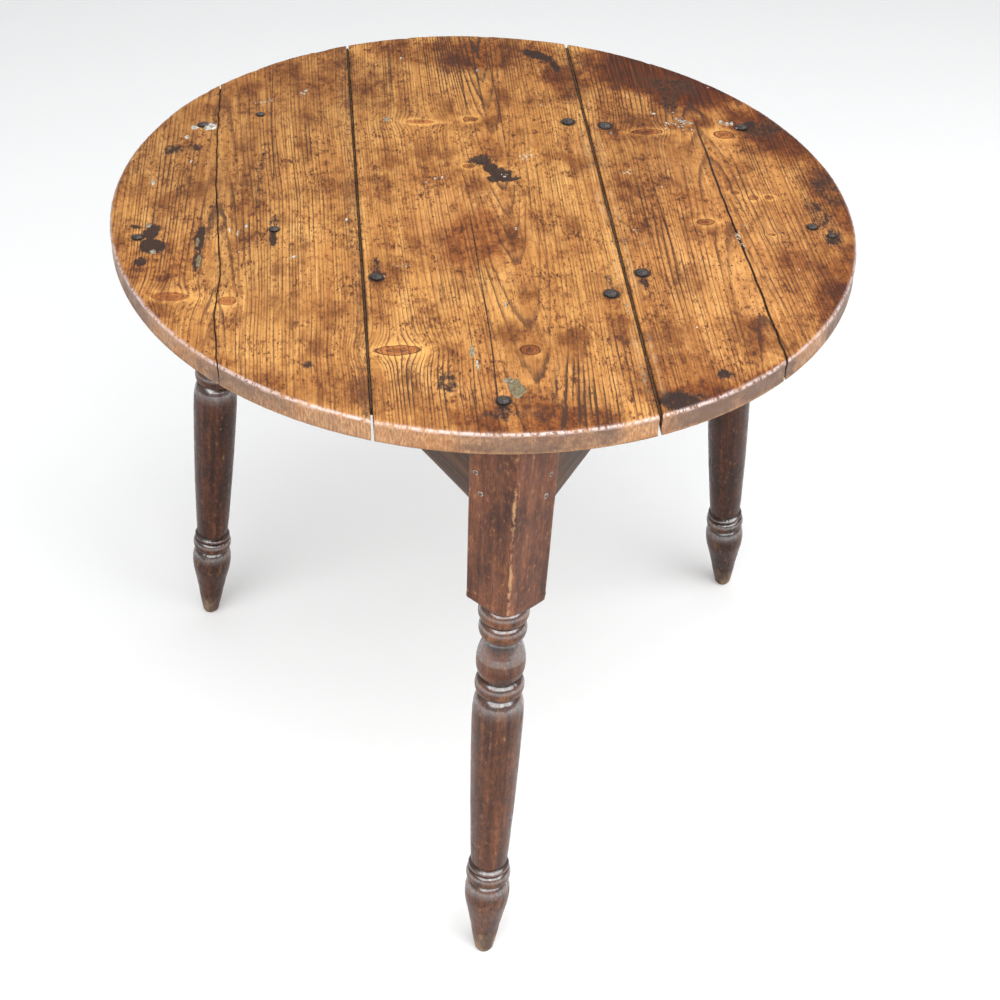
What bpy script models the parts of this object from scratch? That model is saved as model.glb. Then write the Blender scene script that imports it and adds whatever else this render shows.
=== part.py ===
"""Three-legged cricket table: a round top of boards nailed to a pegged, triangular frame on three turned legs.

Metres, +Z up. The floor is z = 0, the front leg points along -Y, and the boards run along Y. The origin is on
the floor, in the middle of the space that the table fills.
"""

import math

import bmesh
import bpy
from mathutils import Matrix, Vector

# Driving dimensions
HEIGHT = 0.7065
TOP_RADIUS = 0.370
TOP_THICKNESS = 0.0225
TOP_CENTRE_Y = 0.0061  # the front foot reaches out past the rim, so the top's centre sits behind the origin
LEG_TOP_RADIUS = 0.3195  # from the top's centre to a leg's axis, at the underside of the boards
CLEARANCE = 0.0003

# Round top: it has shrunk across the grain, so it is slightly oval
OVAL = 0.0175
OVAL_AZIMUTH = math.radians(120.5)
RIM_STEPS = 96
RIM_ROUND_TOP = 0.0035
RIM_ROUND_UNDER = 0.002
UNDERSIDE = HEIGHT - TOP_THICKNESS

# Joints between boards, as x = offset + slope * y, and how wide each one stands open
LEFT_JOINT = (-0.124, -0.0373, 0.0026)
RIGHT_JOINT = (0.124, -0.0344, 0.0032)
# The left board has split from rim to rim, along this line from the front to the back
SPLIT_LINE = (
    (-0.238, -0.420),
    (-0.246, -0.273),
    (-0.254, -0.190),
    (-0.252, -0.121),
    (-0.259, -0.041),
    (-0.266, 0.039),
    (-0.271, 0.150),
    (-0.274, 0.250),
    (-0.278, 0.420),
)
SPLIT_WIDTH = 0.0012
# The right board has a crack that runs in from the front rim and closes behind the middle
CRACK_LINE = ((0.260, -0.300), (0.252, -0.150), (0.243, -0.010), (0.236, 0.140))
CRACK_WIDTH = 0.0018
STRIP_END = 0.420  # the strips that divide the top run this far from its centre, past the rim

# Turned legs. Places along a leg are measured up its axis from the middle of its foot.
LEG_AZIMUTHS = {"front": -87.6, "left": 147.8, "right": 28.2}
LEG_FEET = {"front": (-0.003, -0.368), "left": (-0.331, 0.176), "right": (0.344, 0.211)}
TURNED_STEPS = 20
BEAD_STEPS = 3
NECK_RADIUS = 0.018
NECK_AT = 0.4365

# Squared block at the head of each leg
BLOCK_FOOT = 0.470
BLOCK_TOP = 0.705
ARRIS = 0.0425  # from the axis to the outer arris, at BLOCK_NOMINAL
SIDE_CORNER = (0.013, 0.039)  # outward and sideways
BACK_CORNER = (-0.012, 0.036)
INNER_CORNER = -0.0328
BLOCK_NOMINAL = 0.600
BLOCK_TAPER = 0.45  # growth of the section for each metre up the leg
SHOULDER_FOOT = (0.0238, 0.486)
SHOULDER_SLOPE = 3.0  # radius gained for each unit of height, where the lathe ran out into the block

# Rails, measured from the line that joins two legs' axes at the rails' middle height
RAIL_DEPTH = 0.084
RAIL_INNER = -0.0005
RAIL_OUTER = 0.0375
RAIL_END = 0.0115
TENON_INNER = 0.014
TENON_OUTER = 0.024
TENON_END = -0.012
TENON_TOP = 0.010
TENON_FOOT = 0.004
TENON_ROOT = 0.060

# Cross batten under the boards, let into the two front rails
BATTEN_HALF_LENGTH = 0.346
BATTEN_Y = (-0.075, -0.031)
BATTEN_THICKNESS = 0.019

# Pegs: outward, sideways and height along the leg of each peg's outer end, on the block's two outer faces
PEG_PLACES = {
    "near": ((0.0168, -0.0339, 0.6383), (0.0204, -0.0288, 0.6177)),
    "far": ((0.0177, 0.0327, 0.6375), (0.0201, 0.0293, 0.6155)),
}
PEG_RADIUS = 0.0029
PEG_LENGTH = 0.028
PEG_PROUD = 0.0008
PEG_SIDES = 8

# Nails: name, place from the top's centre, head radius, length, and how far the point leans out
LONG_NAIL = 0.055
SHORT_NAIL = 0.036
NAILS = (
    ("nail_front_leg", (0.002, -0.325), 0.0060, LONG_NAIL, (0.0, 0.0)),
    ("nail_left_leg", (-0.287, 0.166), 0.0050, LONG_NAIL, (0.0, 0.0)),
    ("nail_right_leg", (0.284, 0.155), 0.0060, LONG_NAIL, (0.0, 0.0)),
    ("nail_left_rail", (-0.106, -0.129), 0.0064, LONG_NAIL, (-0.0066, -0.0038)),
    ("nail_right_rail_centre_board", (0.112, -0.161), 0.0066, LONG_NAIL, (0.0, 0.0)),
    ("nail_right_rail_side_board", (0.145, -0.126), 0.0066, LONG_NAIL, (0.0, 0.0)),
    ("nail_back_rail_centre_board", (0.099, 0.169), 0.0066, LONG_NAIL, (0.0, 0.0)),
    ("nail_back_rail_right_board", (0.138, 0.160), 0.0066, LONG_NAIL, (0.0, 0.0070)),
    ("nail_back_rail_left_board", (-0.228, 0.188), 0.0042, LONG_NAIL, (0.0, 0.0)),
    ("nail_batten_left", (-0.205, -0.043), 0.0048, SHORT_NAIL, (0.0, 0.0)),
    ("nail_batten_left_end", (-0.335, -0.056), 0.0050, SHORT_NAIL, (0.0, 0.0)),
    ("nail_batten_right", (0.323, -0.046), 0.0052, SHORT_NAIL, (0.0, 0.0)),
    ("nail_batten_right_end", (0.339, -0.063), 0.0038, SHORT_NAIL, (0.0, 0.0)),
)
NAIL_PROUD = 0.0007
NAIL_HEAD = 0.0020
SHANK_RADIUS = 0.0022
POINT_RADIUS = 0.0010
NAIL_SIDES = 10

# Material: base colour, roughness, metallic
FINISHES = {
    "pine_boards": ((0.52, 0.27, 0.10, 1.0), 0.45, 0.0),
    "dark_turned_wood": ((0.10, 0.042, 0.022, 1.0), 0.38, 0.0),
    "dark_rails": ((0.075, 0.040, 0.025, 1.0), 0.55, 0.0),
    "bare_batten": ((0.30, 0.18, 0.10, 1.0), 0.70, 0.0),
    "oak_pegs": ((0.16, 0.10, 0.065, 1.0), 0.55, 0.0),
    "iron_nails": ((0.030, 0.026, 0.026, 1.0), 0.45, 0.9),
}


def clear_scene():
    for old in list(bpy.data.objects):
        bpy.data.objects.remove(old, do_unlink=True)


def make_material(name):
    colour, roughness, metallic = FINISHES[name]
    made = bpy.data.materials.new(name)
    made.use_nodes = True
    shader = made.node_tree.nodes["Principled BSDF"]
    shader.inputs["Base Color"].default_value = colour
    shader.inputs["Roughness"].default_value = roughness
    shader.inputs["Metallic"].default_value = metallic
    made.diffuse_color = colour
    return made


def add_object(name, bm, matrix=None, finish=None, smooth=False):
    """Links the bmesh as an object placed in the table's centre frame."""
    bmesh.ops.recalc_face_normals(bm, faces=bm.faces)
    mesh = bpy.data.meshes.new(name)
    bm.to_mesh(mesh)
    bm.free()
    if smooth:
        mesh.shade_smooth()
        mesh.set_sharp_from_angle(angle=math.radians(35))
    obj = bpy.data.objects.new(name, mesh)
    bpy.context.scene.collection.objects.link(obj)
    obj.parent = centre
    obj.matrix_local = matrix or Matrix.Identity(4)
    if finish:
        mesh.materials.append(materials[finish])
    return obj


def add_cutter(name, bm, matrix=None):
    cutter = add_object(name, bm, matrix)
    cutter.hide_render = True
    cutter.display_type = "WIRE"
    return cutter


def boolean(obj, operation, other):
    modifier = obj.modifiers.new(other.name, "BOOLEAN")
    modifier.operation = operation
    modifier.solver = "EXACT"
    modifier.object = other


def add_box(bm, low, high, matrix=None):
    """A box between two corners, turned and moved by the matrix."""
    size = Vector(high) - Vector(low)
    middle = (Vector(high) + Vector(low)) / 2
    place = (matrix or Matrix.Identity(4)) @ Matrix.Translation(middle) @ Matrix.Diagonal((*size, 1.0))
    bmesh.ops.create_cube(bm, size=1.0, matrix=place)


def add_prism(bm, outline, low, high):
    """An upright prism on an outline of (x, y) points."""
    floor = [bm.verts.new((x, y, low)) for x, y in outline]
    face = bm.faces.new(floor)
    raised = bmesh.ops.extrude_face_region(bm, geom=[face])["geom"]
    corners = [item for item in raised if isinstance(item, bmesh.types.BMVert)]
    bmesh.ops.translate(bm, verts=corners, vec=(0, 0, high - low))


def add_lathe(bm, profile, steps, matrix=None):
    """A closed turning about Z. The profile is (radius, height) points, from one end on the axis to the other."""
    place = matrix or Matrix.Identity(4)
    rings = []
    for radius, height in profile:
        if radius == 0:
            rings.append([bm.verts.new(place @ Vector((0, 0, height)))])
            continue
        turns = (2 * math.pi * step / steps for step in range(steps))
        points = (Vector((radius * math.cos(a), radius * math.sin(a), height)) for a in turns)
        rings.append([bm.verts.new(place @ point) for point in points])
    for ring, following in zip(rings, rings[1:]):
        for step in range(steps):
            after = (step + 1) % steps
            if len(ring) == 1:
                bm.faces.new((ring[0], following[step], following[after]))
            elif len(following) == 1:
                bm.faces.new((ring[step], ring[after], following[0]))
            else:
                bm.faces.new((ring[step], ring[after], following[after], following[step]))


# ---- the round top ----


def rim_radius(azimuth):
    return TOP_RADIUS * (1 + OVAL * math.cos(2 * (azimuth - OVAL_AZIMUTH)))


def add_disc(bm):
    turns = [2 * math.pi * step / RIM_STEPS for step in range(RIM_STEPS)]
    outline = [(rim_radius(a) * math.cos(a), rim_radius(a) * math.sin(a)) for a in turns]
    add_prism(bm, outline, UNDERSIDE, HEIGHT)
    for level, width in ((HEIGHT, RIM_ROUND_TOP), (UNDERSIDE, RIM_ROUND_UNDER)):
        edges = [e for e in bm.edges if all(abs(v.co.z - level) < 1e-6 for v in e.verts)]
        bmesh.ops.bevel(bm, geom=edges, offset=width, segments=2, profile=0.6, affect="EDGES")


def joint_edge(joint, side):
    """The edge of the board on one side of a straight joint: side is -1 for its left, 1 for its right."""
    offset, slope, gap = joint
    return [(offset + slope * y + side * gap / 2, y) for y in (-STRIP_END, STRIP_END)]


def split_edge(side):
    return [(x + side * SPLIT_WIDTH / 2, y) for x, y in SPLIT_LINE]


def make_board(name, left, right):
    """The part of the disc between two edges, each a list of points from the front to the back."""
    bm = bmesh.new()
    add_disc(bm)
    board = add_object(name, bm, finish="pine_boards")
    strip = bmesh.new()
    add_prism(strip, right + left[::-1], UNDERSIDE - 0.02, HEIGHT + 0.02)
    boolean(board, "INTERSECT", add_cutter(name + "_strip", strip))
    boolean(board, "DIFFERENCE", nail_holes)
    return board


def add_crack(board):
    """A wedge-shaped slot through the board, wide at the rim and closing to nothing."""
    count = len(CRACK_LINE) - 1
    widths = [CRACK_WIDTH * (1 - place / count) for place in range(count)]
    left = [(x - width / 2, y) for (x, y), width in zip(CRACK_LINE, widths)]
    right = [(x + width / 2, y) for (x, y), width in zip(CRACK_LINE, widths)]
    bm = bmesh.new()
    add_prism(bm, right + [CRACK_LINE[-1]] + left[::-1], UNDERSIDE - 0.01, HEIGHT + 0.01)
    boolean(board, "DIFFERENCE", add_cutter("crack_cutter", bm))


def make_top():
    left_outer_edge = [(-STRIP_END, -STRIP_END), (-STRIP_END, STRIP_END)]
    right_outer_edge = [(STRIP_END, -STRIP_END), (STRIP_END, STRIP_END)]
    make_board("top_board_left_outer", left_outer_edge, split_edge(-1))
    make_board("top_board_left_inner", split_edge(1), joint_edge(LEFT_JOINT, -1))
    make_board("top_board_centre", joint_edge(LEFT_JOINT, 1), joint_edge(RIGHT_JOINT, -1))
    right = make_board("top_board_right", joint_edge(RIGHT_JOINT, 1), right_outer_edge)
    add_crack(right)


# ---- legs ----


def leg_axis_at(leg, height):
    """The point on a leg's axis at a height above the floor, from the top's centre."""
    foot = Vector((*LEG_FEET[leg], 0))
    azimuth = math.radians(LEG_AZIMUTHS[leg])
    head = Vector((LEG_TOP_RADIUS * math.cos(azimuth), LEG_TOP_RADIUS * math.sin(azimuth), UNDERSIDE))
    return foot.lerp(head, height / UNDERSIDE)


def rail_middle():
    return UNDERSIDE - RAIL_DEPTH / 2


def leg_frame(leg):
    """Local +Z runs up the leg's axis from its foot, and local +X points out through its arris."""
    corner = leg_axis_at(leg, rail_middle())
    others = [leg_axis_at(other, rail_middle()) for other in LEG_FEET if other != leg]
    inward = (others[0] - corner).normalized() + (others[1] - corner).normalized()
    up = (leg_axis_at(leg, UNDERSIDE) - leg_axis_at(leg, 0)).normalized()
    out = (-inward - up * up.dot(-inward)).normalized()
    side = up.cross(out)
    turned = Matrix((out, side, up)).transposed().to_4x4()
    return Matrix.Translation(leg_axis_at(leg, 0)) @ turned


def bead(low, high, inner, outer):
    """A half-round bead between two heights, standing out from one radius to another."""
    points = []
    for step in range(BEAD_STEPS + 1):
        turn = math.pi * step / BEAD_STEPS
        points.append((inner + (outer - inner) * math.sin(turn), low + (high - low) * (1 - math.cos(turn)) / 2))
    return points


def swell(low, high, steps):
    """Points between two (radius, height) ends along a smooth S, without its first end."""
    points = []
    for step in range(1, steps + 1):
        along = step / steps
        ease = (1 - math.cos(math.pi * along)) / 2
        points.append((low[0] + (high[0] - low[0]) * ease, low[1] + (high[1] - low[1]) * along))
    return points


def leg_profile():
    """The turned leg from toe to head: pointed foot, ankle rings, long shaft, ring, ball, two rings."""
    toe = [(0, -0.004), (0.0084, -0.004), (0.0102, 0.004), (0.0129, 0.020), (0.0160, 0.040)]
    bulb = swell(toe[-1], (0.0238, 0.090), 4) + [(0.0234, 0.102)]
    ankle = bead(0.1095, 0.1275, 0.0212, 0.0234) + bead(0.1280, 0.1335, 0.0195, 0.0212)
    shaft = [(0.0190, 0.135), (0.0206, 0.166), (0.0228, 0.218), (0.0248, 0.290), (0.0255, 0.330)]
    shaft += [(0.0247, 0.356), (0.0232, 0.367)]
    ring = bead(0.3695, 0.3905, 0.0218, 0.0243)
    ball = [(0.0228, 0.3965), (0.0241, 0.409), (0.0232, 0.420), (0.0205, 0.430), (NECK_RADIUS, NECK_AT)]
    head_rings = bead(0.4395, 0.4605, 0.0195, 0.0231) + bead(0.4610, 0.4795, 0.0222, 0.0246)
    neck = [(0.0238, 0.4800), (0.0243, 0.4865), (0.0225, 0.4900), (0.0225, 0.5050), (0, 0.5050)]
    return toe + bulb + ankle + shaft + ring + ball + head_rings + neck


def block_section(height, margin=0.0):
    """The six corners of the block's section, as (outward, sideways) points."""
    scale = 1 + BLOCK_TAPER * (height - BLOCK_NOMINAL)
    half = [(ARRIS, 0.0), SIDE_CORNER, BACK_CORNER, (INNER_CORNER, 0.0)]
    mirrored = [(out, -side) for out, side in (BACK_CORNER, SIDE_CORNER)]
    grown = scale + margin / ARRIS
    return [(out * grown, side * grown) for out, side in half + mirrored]


def add_block(bm, low, high, margin=0.0):
    ends = []
    for height in (low, high):
        ends.append([bm.verts.new((out, side, height)) for out, side in block_section(height, margin)])
    count = len(ends[0])
    bm.faces.new(ends[0][::-1])
    bm.faces.new(ends[1])
    for corner in range(count):
        after = (corner + 1) % count
        bm.faces.new((ends[0][corner], ends[0][after], ends[1][after], ends[1][corner]))


def make_shoulder_cutter(leg, frame):
    """The lathe's sweep around the block: a cone under its corners."""
    radius, height = SHOULDER_FOOT
    wide = 0.060
    cone_top = height + (wide - radius) / SHOULDER_SLOPE
    profile = [(0, BLOCK_FOOT), (0.0200, BLOCK_FOOT), SHOULDER_FOOT, (wide, cone_top), (wide, 0.740), (0, 0.740)]
    bm = bmesh.new()
    add_lathe(bm, profile, TURNED_STEPS, None)
    return add_cutter(leg + "_shoulder", bm, frame)


def make_leg(leg):
    frame = leg_frame(leg)
    block = bmesh.new()
    add_block(block, BLOCK_FOOT - 0.01, BLOCK_TOP)
    obj = add_object("leg_" + leg, block, frame, "dark_turned_wood")
    boolean(obj, "INTERSECT", make_shoulder_cutter(leg, frame))
    turned = bmesh.new()
    add_lathe(turned, leg_profile(), TURNED_STEPS)
    boolean(obj, "UNION", add_cutter(leg + "_turning", turned, frame))
    boolean(obj, "DIFFERENCE", level_cuts)
    for rail, ends in RAILS.items():
        if leg in ends:
            boolean(obj, "DIFFERENCE", mortises[rail])
    boolean(obj, "DIFFERENCE", peg_holes)
    boolean(obj, "DIFFERENCE", nail_holes)


def make_level_cuts():
    """Cuts the toes level with the floor and the heads level under the boards."""
    bm = bmesh.new()
    add_box(bm, (-0.6, -0.6, -0.1), (0.6, 0.6, 0))
    add_box(bm, (-0.6, -0.6, UNDERSIDE - CLEARANCE), (0.6, 0.6, UNDERSIDE + 0.1))
    return add_cutter("level_cuts", bm)


# ---- rails ----

RAILS = {"rail_front_left": ("left", "front"), "rail_front_right": ("front", "right"), "rail_back": ("right", "left")}


def rail_frame(rail):
    """Local +X runs from one leg's axis to the next, local +Y points out of the table, and z stays upright."""
    start, end = (leg_axis_at(leg, rail_middle()) for leg in RAILS[rail])
    along = (end - start).normalized()
    up = Vector((0, 0, 1))
    out = along.cross(up)
    frame = Matrix((along, out, up)).transposed().to_4x4()
    return Matrix.Translation((start.x, start.y, 0)) @ frame, (end - start).length


def add_tenons(bm, length, matrix, margin, root):
    low = UNDERSIDE - RAIL_DEPTH + TENON_FOOT - margin
    high = UNDERSIDE - TENON_TOP + margin
    ends = ((TENON_END - margin, root), (length - root, length - TENON_END + margin))
    for first, last in ends:
        add_box(bm, (first, TENON_INNER - margin, low), (last, TENON_OUTER + margin, high), matrix)


def make_mortise_cutter(rail):
    frame, length = rail_frame(rail)
    bm = bmesh.new()
    add_tenons(bm, length, frame, CLEARANCE, TENON_ROOT)
    return add_cutter(rail + "_mortises", bm)


def make_block_cutter(leg):
    """The block grown by the clearance, which scribes the rails' shoulders to it."""
    bm = bmesh.new()
    add_block(bm, 0.560, 0.730, CLEARANCE * 1.2)
    return add_cutter(leg + "_scribe", bm, leg_frame(leg))


def make_rail(rail):
    frame, length = rail_frame(rail)
    body = bmesh.new()
    low = (RAIL_END, RAIL_INNER, UNDERSIDE - RAIL_DEPTH)
    high = (length - RAIL_END, RAIL_OUTER, UNDERSIDE - CLEARANCE)
    add_box(body, low, high, frame)
    obj = add_object(rail, body, finish="dark_rails")
    for leg in RAILS[rail]:
        boolean(obj, "DIFFERENCE", block_cutters[leg])
    tenons = bmesh.new()
    add_tenons(tenons, length, frame, 0, TENON_ROOT + 0.02)
    boolean(obj, "UNION", add_cutter(rail + "_tenons", tenons))
    if rail != "rail_back":
        boolean(obj, "DIFFERENCE", batten_notch)
    boolean(obj, "DIFFERENCE", peg_holes)
    boolean(obj, "DIFFERENCE", nail_holes)


# ---- cross batten ----


def add_batten(bm, margin, length, high):
    low = (-length, BATTEN_Y[0] - margin, UNDERSIDE - BATTEN_THICKNESS - margin)
    add_box(bm, low, (length, BATTEN_Y[1] + margin, high))


def make_batten():
    bm = bmesh.new()
    add_batten(bm, 0, BATTEN_HALF_LENGTH, UNDERSIDE - CLEARANCE)
    batten = add_object("cross_batten", bm, finish="bare_batten")
    boolean(batten, "DIFFERENCE", nail_holes)


def make_batten_notch():
    bm = bmesh.new()
    add_batten(bm, CLEARANCE, BATTEN_HALF_LENGTH, UNDERSIDE + 0.01)
    return add_cutter("batten_notch", bm)


# ---- pegs and nails ----


def block_face_normal(side):
    """The direction out of a block's outer face, in the leg's frame."""
    across = Vector((SIDE_CORNER[0] - ARRIS, side * SIDE_CORNER[1], 0))
    return Vector((across.y, -across.x, 0)).normalized() * side


def peg_frames():
    """Every peg's name and frame: local -Z runs into the leg."""
    for leg in LEG_FEET:
        for face, places in PEG_PLACES.items():
            normal = block_face_normal(math.copysign(1, places[0][1]))
            turn = Vector((0, 0, 1)).rotation_difference(normal).to_matrix().to_4x4()
            for number, place_on_face in enumerate(places, start=1):
                place = Matrix.Translation(place_on_face)
                yield f"peg_{leg}_{face}_{number}", leg_frame(leg) @ place @ turn


def make_pegs():
    tip = PEG_RADIUS * 0.7
    profile = [(0, PEG_PROUD), (tip, PEG_PROUD), (PEG_RADIUS, 0), (PEG_RADIUS, -PEG_LENGTH * 0.8)]
    profile += [(tip, -PEG_LENGTH), (0, -PEG_LENGTH)]
    for name, frame in peg_frames():
        bm = bmesh.new()
        add_lathe(bm, profile, PEG_SIDES)
        add_object(name, bm, frame, "oak_pegs")


def make_peg_holes():
    radius = PEG_RADIUS + CLEARANCE
    profile = [(0, 0.010), (radius, 0.010), (radius, -PEG_LENGTH - CLEARANCE), (0, -PEG_LENGTH - CLEARANCE)]
    bm = bmesh.new()
    for _, frame in peg_frames():
        add_lathe(bm, profile, PEG_SIDES * 2, frame)
    return add_cutter("peg_holes", bm)


def nail_frame(place, length, lean):
    """Local +Z points up the nail, out of its head, and the origin is at the top of the boards."""
    down = Vector((*lean, -length)).normalized()
    turn = Vector((0, 0, -1)).rotation_difference(down).to_matrix().to_4x4()
    return Matrix.Translation((*place, HEIGHT)) @ turn


def make_nails():
    for name, place, head, length, lean in NAILS:
        under = NAIL_PROUD - NAIL_HEAD
        profile = [(0, NAIL_PROUD), (head * 0.55, NAIL_PROUD * 0.8), (head * 0.9, NAIL_PROUD * 0.1)]
        profile += [(head, under * 0.5), (head * 0.95, under), (SHANK_RADIUS, under)]
        profile += [(SHANK_RADIUS, -length * 0.7), (POINT_RADIUS, -length), (0, -length)]
        bm = bmesh.new()
        add_lathe(bm, profile, NAIL_SIDES)
        add_object(name, bm, nail_frame(place, length, lean), "iron_nails", smooth=True)


def make_nail_holes():
    bm = bmesh.new()
    for _, place, head, length, lean in NAILS:
        seat = NAIL_PROUD - NAIL_HEAD - CLEARANCE
        wide = head + CLEARANCE
        bore = SHANK_RADIUS + CLEARANCE
        deep = -length - CLEARANCE
        profile = [(0, 0.005), (wide, 0.005), (wide, seat), (bore, seat), (bore, deep), (0, deep)]
        add_lathe(bm, profile, NAIL_SIDES, nail_frame(place, length, lean))
    return add_cutter("nail_holes", bm)


clear_scene()
centre = bpy.data.objects.new("table_centre", None)
centre.location = (0, TOP_CENTRE_Y, 0)
bpy.context.scene.collection.objects.link(centre)
materials = {name: make_material(name) for name in FINISHES}

nail_holes = make_nail_holes()
peg_holes = make_peg_holes()
level_cuts = make_level_cuts()
batten_notch = make_batten_notch()
mortises = {rail: make_mortise_cutter(rail) for rail in RAILS}
block_cutters = {leg: make_block_cutter(leg) for leg in LEG_FEET}

make_top()
for leg_name in LEG_FEET:
    make_leg(leg_name)
for rail_name in RAILS:
    make_rail(rail_name)
make_batten()
make_pegs()
make_nails()
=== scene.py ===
import math

import bpy
import numpy as np
from mathutils import Matrix, Vector


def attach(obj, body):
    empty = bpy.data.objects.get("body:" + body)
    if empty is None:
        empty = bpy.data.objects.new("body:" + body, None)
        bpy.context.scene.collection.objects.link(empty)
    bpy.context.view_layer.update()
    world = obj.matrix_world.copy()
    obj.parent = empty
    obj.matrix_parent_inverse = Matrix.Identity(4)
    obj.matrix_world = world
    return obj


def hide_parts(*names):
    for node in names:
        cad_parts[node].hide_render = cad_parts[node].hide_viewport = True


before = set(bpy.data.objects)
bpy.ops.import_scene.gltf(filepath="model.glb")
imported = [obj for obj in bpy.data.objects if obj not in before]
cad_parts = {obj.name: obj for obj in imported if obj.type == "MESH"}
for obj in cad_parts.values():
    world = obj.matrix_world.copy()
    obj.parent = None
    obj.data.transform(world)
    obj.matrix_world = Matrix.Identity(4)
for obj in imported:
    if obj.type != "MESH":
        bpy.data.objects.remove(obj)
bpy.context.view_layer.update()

# An old three-legged cricket table. Lengths are in metres unless a name says MM.
# Places on the top are (x, y) from its centre, which stands at CENTRE_Y in the frame.

MM = 0.001
CENTRE_Y = 0.0061
HEIGHT = 0.7065
UNDERSIDE = 0.6840
HEAD_LEVEL = UNDERSIDE - 0.0003
TOP_RADIUS = 0.3697  # a little inside the CAD rim, whose flat facets cut its corners
OVAL = 0.0175
OVAL_AZIMUTH = math.radians(120.5)
CELL = 0.0021  # mesh spacing on the boards
LEFT_GAP, RIGHT_GAP, SPLIT_GAP = 0.0013, 0.0016, 0.0006  # half of how wide each joint stands open
EDGE_STEPS = (0.0, 0.0004, 0.0012, 0.0024, 0.0042)
RING_WIDTH = 0.0031  # growth ring

# ---- noise and shaping ----


def lattice(ix, iy, seed):
    mixed = (
        ix.astype(np.int64) * 374761393 + iy.astype(np.int64) * 668265263 + seed * 1442695041
    ) & 0xFFFFFFFF
    mixed = ((mixed ^ (mixed >> 13)) * 1274126177) & 0xFFFFFFFF
    return ((mixed ^ (mixed >> 16)) & 0xFFFF) / 32767.5 - 1


def noise(x, y, seed=0):
    """Smooth random values from -1 to 1."""
    x, y = np.broadcast_arrays(np.asarray(x, float), np.asarray(y, float))
    ix, iy = np.floor(x), np.floor(y)
    fx, fy = x - ix, y - iy
    ux, uy = fx * fx * (3 - 2 * fx), fy * fy * (3 - 2 * fy)
    low = lattice(ix, iy, seed) * (1 - ux) + lattice(ix + 1, iy, seed) * ux
    high = lattice(ix, iy + 1, seed) * (1 - ux) + lattice(ix + 1, iy + 1, seed) * ux
    return low * (1 - uy) + high * uy


def cloud(x, y, seed=0, octaves=3):
    return sum(noise(x * 2**n, y * 2**n, seed + n) / 2**n for n in range(octaves)) / (2 - 2 ** (1 - octaves))


def ease(value, low, high):
    t = np.clip((value - low) / (high - low), 0, 1)
    return t * t * (3 - 2 * t)


def oval_distance(x, y, spot):
    """How far out a point is in a turned ellipse, 1 on its edge.

    A spot is x, y, half width, half length (mm) and turn (degrees).
    """
    cx, cy, wide, tall, turn = spot
    turn = math.radians(turn)
    dx, dy = x / MM - cx, y / MM - cy
    across = dx * math.cos(turn) + dy * math.sin(turn)
    along = dy * math.cos(turn) - dx * math.sin(turn)
    return np.sqrt((across / wide) ** 2 + (along / tall) ** 2)


# ---- meshes ----


def add_mesh(name, points, faces, material, attributes=None, sharp=50, smooth=True):
    mesh = bpy.data.meshes.new(name)
    mesh.from_pydata([tuple(p) for p in np.asarray(points, float).tolist()], [], faces)
    for key, values in (attributes or {}).items():
        values = np.asarray(values, np.float32)
        kind, field = ("FLOAT", "value") if values.ndim == 1 else ("FLOAT_VECTOR", "vector")
        mesh.attributes.new(key, kind, "POINT").data.foreach_set(field, values.ravel())
    if smooth:
        mesh.shade_smooth()
        mesh.set_sharp_from_angle(angle=math.radians(sharp))
    mesh.materials.append(material)
    obj = bpy.data.objects.new(name, mesh)
    bpy.context.scene.collection.objects.link(obj)
    return obj


def grid_faces(rows, columns, start=0, flip=False):
    index = start + np.arange(rows * columns).reshape(rows, columns)
    quads = np.stack([index[:-1, :-1], index[1:, :-1], index[1:, 1:], index[:-1, 1:]], -1).reshape(-1, 4)
    return (quads[:, ::-1] if flip else quads).tolist()


def band_faces(first, second):
    """Faces between two closed loops of vertex numbers."""
    return [
        (
            first[i], first[(i + 1) % len(first)], second[(i + 1) % len(first)], second[i]
        ) for i in range(len(first))
    ]


def border(rows, columns):
    """The vertex numbers round the edge of a grid, in order."""
    index = np.arange(rows * columns).reshape(rows, columns)
    return np.concatenate([index[:-1, 0], index[-1, :-1], index[:0:-1, -1], index[0, :0:-1]])


# ---- the round top's layout ----


def joint_left(y):
    return -0.124 - 0.0373 * y


def joint_right(y):
    return 0.124 - 0.0344 * y


def split_x(y):
    ys = (-0.420, -0.273, -0.190, -0.121, -0.041, 0.039, 0.150, 0.250, 0.420)
    xs = (-0.238, -0.246, -0.254, -0.252, -0.259, -0.266, -0.271, -0.274, -0.278)
    return np.interp(y, ys, xs) + 0.0006 * noise(y * 90, 0, 5)


def crack_x(y):
    ys = (-0.400, -0.300, -0.150, -0.010, 0.140, 0.400)
    xs = (0.2655, 0.260, 0.252, 0.243, 0.236, 0.2235)
    return np.interp(y, ys, xs) + 0.0005 * noise(y * 70, 0, 6)


def crack_width(y):
    return 0.0019 * np.clip((0.150 - y) / 0.44, 0, 1) + 0.00002


def rim_radius(azimuth):
    return TOP_RADIUS * (1 + OVAL * np.cos(2 * (azimuth - OVAL_AZIMUTH)))


def meet_rim(line, side):
    """Where x = line(y) meets the rim, at the front (side -1) or the back (side 1)."""
    y = side * 0.25
    for _ in range(40):
        x = line(y)
        y = side * np.sqrt(np.maximum(rim_radius(np.arctan2(y, x)) ** 2 - x * x, 0))
    return y


def spread(width, cells):
    """Places across each width: close together at both ends, even between."""
    width = np.asarray(width, float)[..., None]
    pinch = np.minimum(1, width / (4 * EDGE_STEPS[-1]))
    near = np.array(EDGE_STEPS[:-1]) * pinch
    even = np.linspace(0, 1, cells)
    first = EDGE_STEPS[-1] * pinch
    return np.concatenate([near, first + even * (width - 2 * first), (width - near)[..., ::-1]], -1)


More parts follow.
